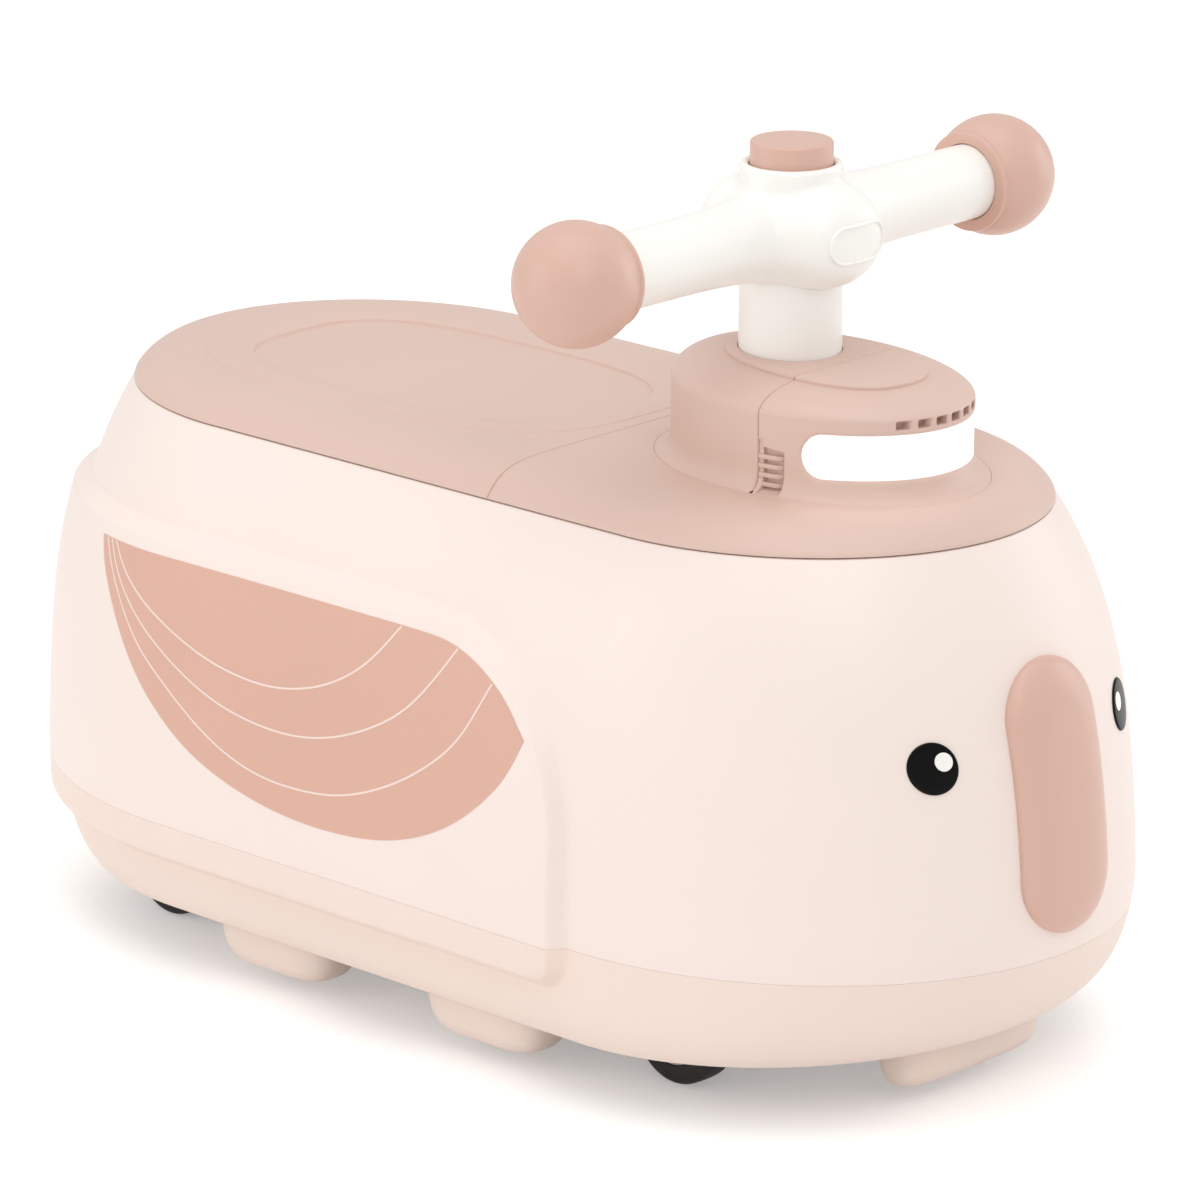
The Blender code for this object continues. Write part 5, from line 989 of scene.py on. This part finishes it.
columnForm = Settings(radius=0.0243, inner=0.0213, bore=0.0053, top=0.3802, foot=0.300, floor=0.304)


def makeColumn():
    form = columnForm
    profile = [(form.radius, form.top), (form.radius, form.foot), (form.bore, form.foot), (form.bore, form.floor),
               (form.inner, form.floor), (form.inner, form.top)]
    column = turned("column", profile, (barForm.x, 0, 0), bored=True)
    finishPiece(column, "white_plastic", "steering", "steering_column")


gripForm = Settings(y=0.145, ball=0.0292, collar=0.0241, start=0.1243, bore=0.0183, depth=0.037, waist=0.0008,
                    edge=0.0010, radii=(0, 0.0009, 0.0009, 0.0012, 0.0006, 0))


def makeGrip(side):
    form, label = gripForm, "left" if side > 0 else "right"
    waist, floor = form.y - math.sqrt(form.ball ** 2 - (form.collar - form.waist) ** 2), form.start + form.depth
    angle = np.linspace(0, math.acos((waist + form.edge - form.y) / form.ball), 48)
    ball = np.c_[form.ball * np.sin(angle), form.y + form.ball * np.cos(angle)]
    collar = softLine([ball[-1], (form.collar - form.waist, waist), (form.collar, waist - form.edge),
                       (form.collar, form.start), (form.bore, form.start), (form.bore, floor)], form.radii, 8)
    grip = turned(f"grip{label.title()}", np.concatenate([ball, collar[1:], [(0, floor)]]),
                  (barForm.x, 0, barForm.z), alongY=True, flip=side < 0, steps=128)
    finishPiece(grip, "dusty_pink_with_painted_shade", "steering", f"grip_{label}", slot="dusty_pink_plastic")


buttonForm = Settings(radius=0.0195, top=0.4372, foot=0.4114, inner=0.0170, stem=0.0020, ceiling=0.4322, edge=0.0013,
                      crown=0.0002)


def makeButton():
    form = buttonForm
    upper = softLine([(0, form.top), (form.radius, form.top - form.crown), (form.radius, form.foot)],
                     [0, form.edge, 0], 10)
    profile = np.concatenate([upper, [(form.inner, form.foot), (form.inner, form.ceiling), (form.stem, form.ceiling),
                                      (form.stem, form.foot), (0, form.foot)]])
    finishPiece(turned("hornButton", profile, (barForm.x, 0, 0)), "dusty_pink_with_painted_shade", "button", "horn_button",
                slot="dusty_pink_plastic")


makeHandlebar()
makePlate()
makeColumn()
makeGrip(1)
makeGrip(-1)
makeButton()
print("stage: handlebar")


def nosePoint(y, z, proud):
    # a point on the nose's wall, raised along the wall's own direction
    def onWall(across, up):
        nose, _, side = bodyReach(up)
        power = bodyRoundness(up)
        x = bodyForm.halfStraight + nose * (1 - (np.abs(across) / side) ** power) ** (1 / power)
        return gridPoints(x, across, up)
    step = 0.0005
    normal = np.cross(onWall(y + step, z) - onWall(y - step, z), onWall(y, z + step) - onWall(y, z - step))
    return onWall(y, z) + normal / np.linalg.norm(normal, axis=-1, keepdims=True) * proud


trunkForm = Settings(z=0.1557, halfHeight=0.0640, halfWidth=0.0288, proud=0.0088, round=0.020, lift=0.0001,
                     edge=0.0006)


def makeTrunk():
    form, width, rest = trunkForm, trunkForm.halfWidth, trunkForm.halfWidth - trunkForm.round
    unit, shift = stadium(form.halfHeight - width, 61, 30)
    layers = [(share * width, form.lift) for share in (0, 0.3, 0.6, 0.85, 1)]
    layers += [(width - form.round * (1 - np.cos(t)), form.lift + form.edge + (form.proud - form.edge) * np.sin(t))
               for t in quarter(22)]
    layers += [(rest * share, form.lift + form.proud) for share in (0.75, 0.5, 0.25, 0)]
    rings = [nosePoint(reach * unit[:, 1], form.z + shift + reach * unit[:, 0], proud) for reach, proud in layers]
    trunk = ringSolid("trunk", rings, capped=False)
    finishPiece(trunk, "dusty_pink_with_painted_shade", "body", "trunk", slot="dusty_pink_plastic")


eyeForm = Settings(y=0.0660, z=0.1800, radius=0.012, thick=0.0009, glint=0.0043, shiftY=0.0045, shiftZ=0.0028,
                   base=0.0001, glintBase=0.0011, glintThick=0.0003, squash=0.91)


def disc(name, y, z, radius, base, thick):
    # a thin round pad on the nose with a rounded edge
    angle = roundTurns(72)
    layers = [(share * radius, base) for share in (0, 0.5, 1)]
    layers += [(radius - thick * (1 - np.cos(t)), base + thick * np.sin(t)) for t in quarter(6)]
    layers += [((radius - thick) * share, base + thick) for share in (0.7, 0.35, 0)]
    rings = [nosePoint(y + eyeForm.squash * reach * np.cos(angle), z + reach * np.sin(angle), proud)
             for reach, proud in layers]
    return ringSolid(name, rings, capped=False)


def makeEye(side):
    form, label = eyeForm, "left" if side > 0 else "right"
    eye = disc(f"eye{label.title()}", side * form.y, form.z, form.radius, form.base, form.thick)
    finishPiece(eye, "black_enamel", "body", f"eye_{label}")
    glint = disc(f"glint{label.title()}", side * (form.y - form.shiftY), form.z + form.shiftZ, form.glint,
                 form.glintBase, form.glintThick)
    finishPiece(glint, "white_plastic", "body", f"eye_glint_{label}")


makeTrunk()
makeEye(1)
makeEye(-1)
print("stage: nose")

wingForm = Settings(
    upper=[(-0.186, 0.213), (-0.12, 0.2133), (-0.06, 0.2134), (0.0, 0.2133), (0.04, 0.2131), (0.060, 0.2115),
           (0.079, 0.205), (0.0975, 0.193), (0.1115, 0.1764)],
    lower=[(0.1115, 0.1764), (0.099, 0.154), (0.0744, 0.131), (0.049, 0.1165), (0.0225, 0.108), (-0.004, 0.1045),
           (-0.034, 0.104), (-0.066, 0.1075), (-0.101, 0.117), (-0.128, 0.132), (-0.153, 0.156), (-0.172, 0.184),
           (-0.182, 0.201), (-0.186, 0.213)],
    arcs=[
        [(-0.173, 0.2128), (-0.163, 0.201), (-0.141, 0.186), (-0.104, 0.171), (-0.069, 0.166), (-0.042, 0.168),
         (-0.015, 0.1765), (0.009, 0.192), (0.027, 0.2128)],
        [(-0.177, 0.2128), (-0.166, 0.195), (-0.139, 0.172), (-0.102, 0.153), (-0.067, 0.146), (-0.033, 0.146),
         (0.0, 0.155), (0.032, 0.172), (0.052, 0.193), (0.0645, 0.2100)],
        [(-0.181, 0.2128), (-0.173, 0.198), (-0.154, 0.173), (-0.138, 0.1585), (-0.101, 0.133), (-0.066, 0.121),
         (-0.032, 0.120), (-0.0015, 0.1245), (0.0345, 0.140), (0.066, 0.163), (0.080, 0.1835), (0.0885, 0.1985)]],
    middle=(-0.03, 0.165), lift=0.00005, film=0.00012, arcWidth=0.0010, arcThick=0.00008,
)


def smoothCurve(points, perSpan, rounds=50):
    # a curve through its points whose direction at each is that from the point before to the point after; then each
    # of its own points moves to the mean of itself and its neighbours, again and again, between fixed ends
    points = np.asarray(points, float)
    padded = np.concatenate([2 * points[:1] - points[1:2], points, 2 * points[-1:] - points[-2:-1]])
    a, b, c, d = padded[:-3, None], padded[1:-2, None], padded[2:-1, None], padded[3:, None]
    t = np.linspace(0, 1, perSpan, endpoint=False)[None, :, None]
    line = 0.5 * (2 * b + (c - a) * t + (2 * a - 5 * b + 4 * c - d) * t ** 2 + (3 * b - a - 3 * c + d) * t ** 3)
    line = np.concatenate([line.reshape(-1, 2), points[-1:]])
    for _ in range(rounds):
        line = np.concatenate([line[:1], (line[:-2] + 2 * line[1:-1] + line[2:]) / 4, line[-1:]])
    return line


def makeWing(side):
    form, label, middle = wingForm, "Left" if side > 0 else "Right", np.array(wingForm.middle)

    def laid(flat, proud):
        return wallPoint(flat[..., 0], flat[..., 1], proud) * np.array([1, side, 1])
    outline = np.concatenate([smoothCurve(form.upper, 16, 12)[:-1], smoothCurve(form.lower, 16)[:-1]])
    flat = middle + (outline - middle) * np.linspace(0, 1, 30)[:, None, None]
    rings = np.concatenate([laid(flat, form.lift), laid(flat[::-1], form.lift + form.film)])
    finishPiece(ringSolid(f"wing{label}", rings, capped=False), "decal_film", "body", slot="cream_plastic")
    base = 2 * form.lift + form.film
    for index, arc in enumerate(form.arcs):
        line = smoothCurve(arc, 14)
        along = np.gradient(line, axis=0)
        across = np.c_[-along[:, 1], along[:, 0]] / np.linalg.norm(along, axis=1, keepdims=True) * form.arcWidth / 2
        ring = [laid(line + edge * across, base + rise * form.arcThick)
                for edge, rise in ((-1, 0), (-1, 1), (1, 1), (1, 0))]
        strip = ringSolid(f"wingLine{label}{index + 1}", np.stack(ring, axis=1))
        finishPiece(strip, "decal_line", "body", slot="cream_plastic")


makeWing(1)
makeWing(-1)
print("stage: decals")

wheelForm = Settings(radius=0.0255, width=0.020, hub=0.0150, y=0.086, front=0.148, rear=-0.1975, bore=0.0033,
                     gap=0.0003, crown=0.0006, rim=0.0125, nose=0.0055, draft=0.001, sink=0.003, edge=0.0005,
                     treadRadii=(0, 0.0006, 0.0042, 0.06, 0.0042, 0.0006))


def makeWheel(end, side):
    form, label = wheelForm, "left" if side > 0 else "right"
    half, inner, outer = form.width / 2, form.hub + form.gap, form.radius - form.crown
    low = form.sink - half
    spot, body = (form[end], side * form.y, form.radius), f"{end}_{label}_wheel"
    tread = softLine([(inner, 0), (inner, half), (outer, half), (form.radius, 0), (outer, -half), (inner, -half)],
                     form.treadRadii, 9)
    tyre = turned(f"{end}{label.title()}Tyre", tread, spot, alongY=True, bored=True)
    finishPiece(tyre, "black_rubber", body, f"{end}_{label}_tyre")
    line = [(form.hub, 0), (form.hub, -half), (form.rim, -half), (form.rim - form.draft, low),
            (form.nose + form.draft, low), (form.nose, -half), (form.bore, -half)]
    line += [(radius, -height) for radius, height in line[:0:-1]]
    hub = turned(f"{end}{label.title()}Hub", softLine(line, [0] + [form.edge] * 12, 5), spot, alongY=True, bored=True)
    finishPiece(hub, "grey_nylon", body, f"{end}_{label}_wheel_hub")


for end in ("front", "rear"):
    for side in (1, -1):
        makeWheel(end, side)
print("stage: wheels")

# the pieces that show as the CAD made them, by material
keptNodes = {
    "liner_plastic": ["storage_tub"],
    "zinc_steel": ["lid_hinge_pin", "battery_1", "battery_2", "steering_shaft", "shaft_nut", "horn_spring",
                   "front_axle", "rear_axle"]
                  + [f"{end}_{side}_axle_cap" for end in ("front", "rear") for side in ("left", "right")]
                  + [f"chassis_screw_{side}_{index}" for side in ("left", "right") for index in (1, 2, 3)],
    "grey_abs": ["speaker", "battery_tray", "battery_door", "front_axle_carrier"],
    "circuit_board": ["lamp_board", "horn_switch"],
    "white_acetal": ["column_bush", "steering_bush"],
}
for slot, names in keptNodes.items():
    for name in names:
        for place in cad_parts[name].material_slots:
            place.link = "OBJECT"
            place.material = materials[slot]

stageForm = Settings(floorColour=(0.94, 0.925, 0.912, 1), floorRoughness=0.9, floorGlow=0.3, floorHalf=9,
                     floorThick=0.02, floorDrop=0.0001, worldLight=0.72)
floorMaterial, tree, shader, _ = newMaterial("floor")
# the floor glows a little for the camera and in mirrors, but lights nothing, so the shadow on it stays
rays = addNode(tree, "ShaderNodeLightPath").outputs
mirrored = addNode(tree, "ShaderNodeMath", {0: rays["Is Glossy Ray"], 1: rays["Is Transmission Ray"]},
                   operation="ADD")
direct = addNode(tree, "ShaderNodeMath", {0: rays["Is Camera Ray"], 1: mirrored.outputs[0]},
                 operation="ADD", use_clamp=True)
seen = addNode(tree, "ShaderNodeMath", {0: direct.outputs[0], 1: stageForm.floorGlow}, operation="MULTIPLY")
feed(tree, shader, {"Base Color": stageForm.floorColour, "Roughness": stageForm.floorRoughness,
                    "Emission Color": (1, 1, 1, 1), "Emission Strength": seen.outputs[0]})
half = stageForm.floorHalf
floor = block("floor", (-half, -half, -stageForm.floorThick), (half, half, -stageForm.floorDrop))
floor.data.materials.append(floorMaterial)

world = bpy.data.worlds.new("world")
world.use_nodes = True
feed(world.node_tree, world.node_tree.nodes["Background"], {"Color": (1, 1, 1, 1), "Strength": stageForm.worldLight})
bpy.context.scene.world = world

# place, aim, size and power
lights = {
    "overhead": ((0.2, -0.3, 2.4), (0, 0, 0.15), 2.2, 16),
    "key": ((1.95, -1.1, 2.0), (0, 0, 0.15), 1.0, 7.6),
    "left": ((-1.2, -2.4, 0.9), (0, 0, 0.15), 1.8, 12),
    "right": ((1.2, 2.6, 0.9), (0, 0, 0.2), 1.6, 12),
}
for name, (place, aim, size, power) in lights.items():
    light = bpy.data.lights.new(name, "AREA")
    light.shape = "SQUARE"
    light.size = size
    light.energy = power
    lamp = bpy.data.objects.new(name, light)
    lamp.location = place
    x, y, z = np.array(aim) - np.array(place)
    lamp.rotation_euler = (math.atan2(math.hypot(x, y), -z), 0, math.atan2(y, x) - math.pi / 2)
    bpy.context.scene.collection.objects.link(lamp)
print("stage: light")
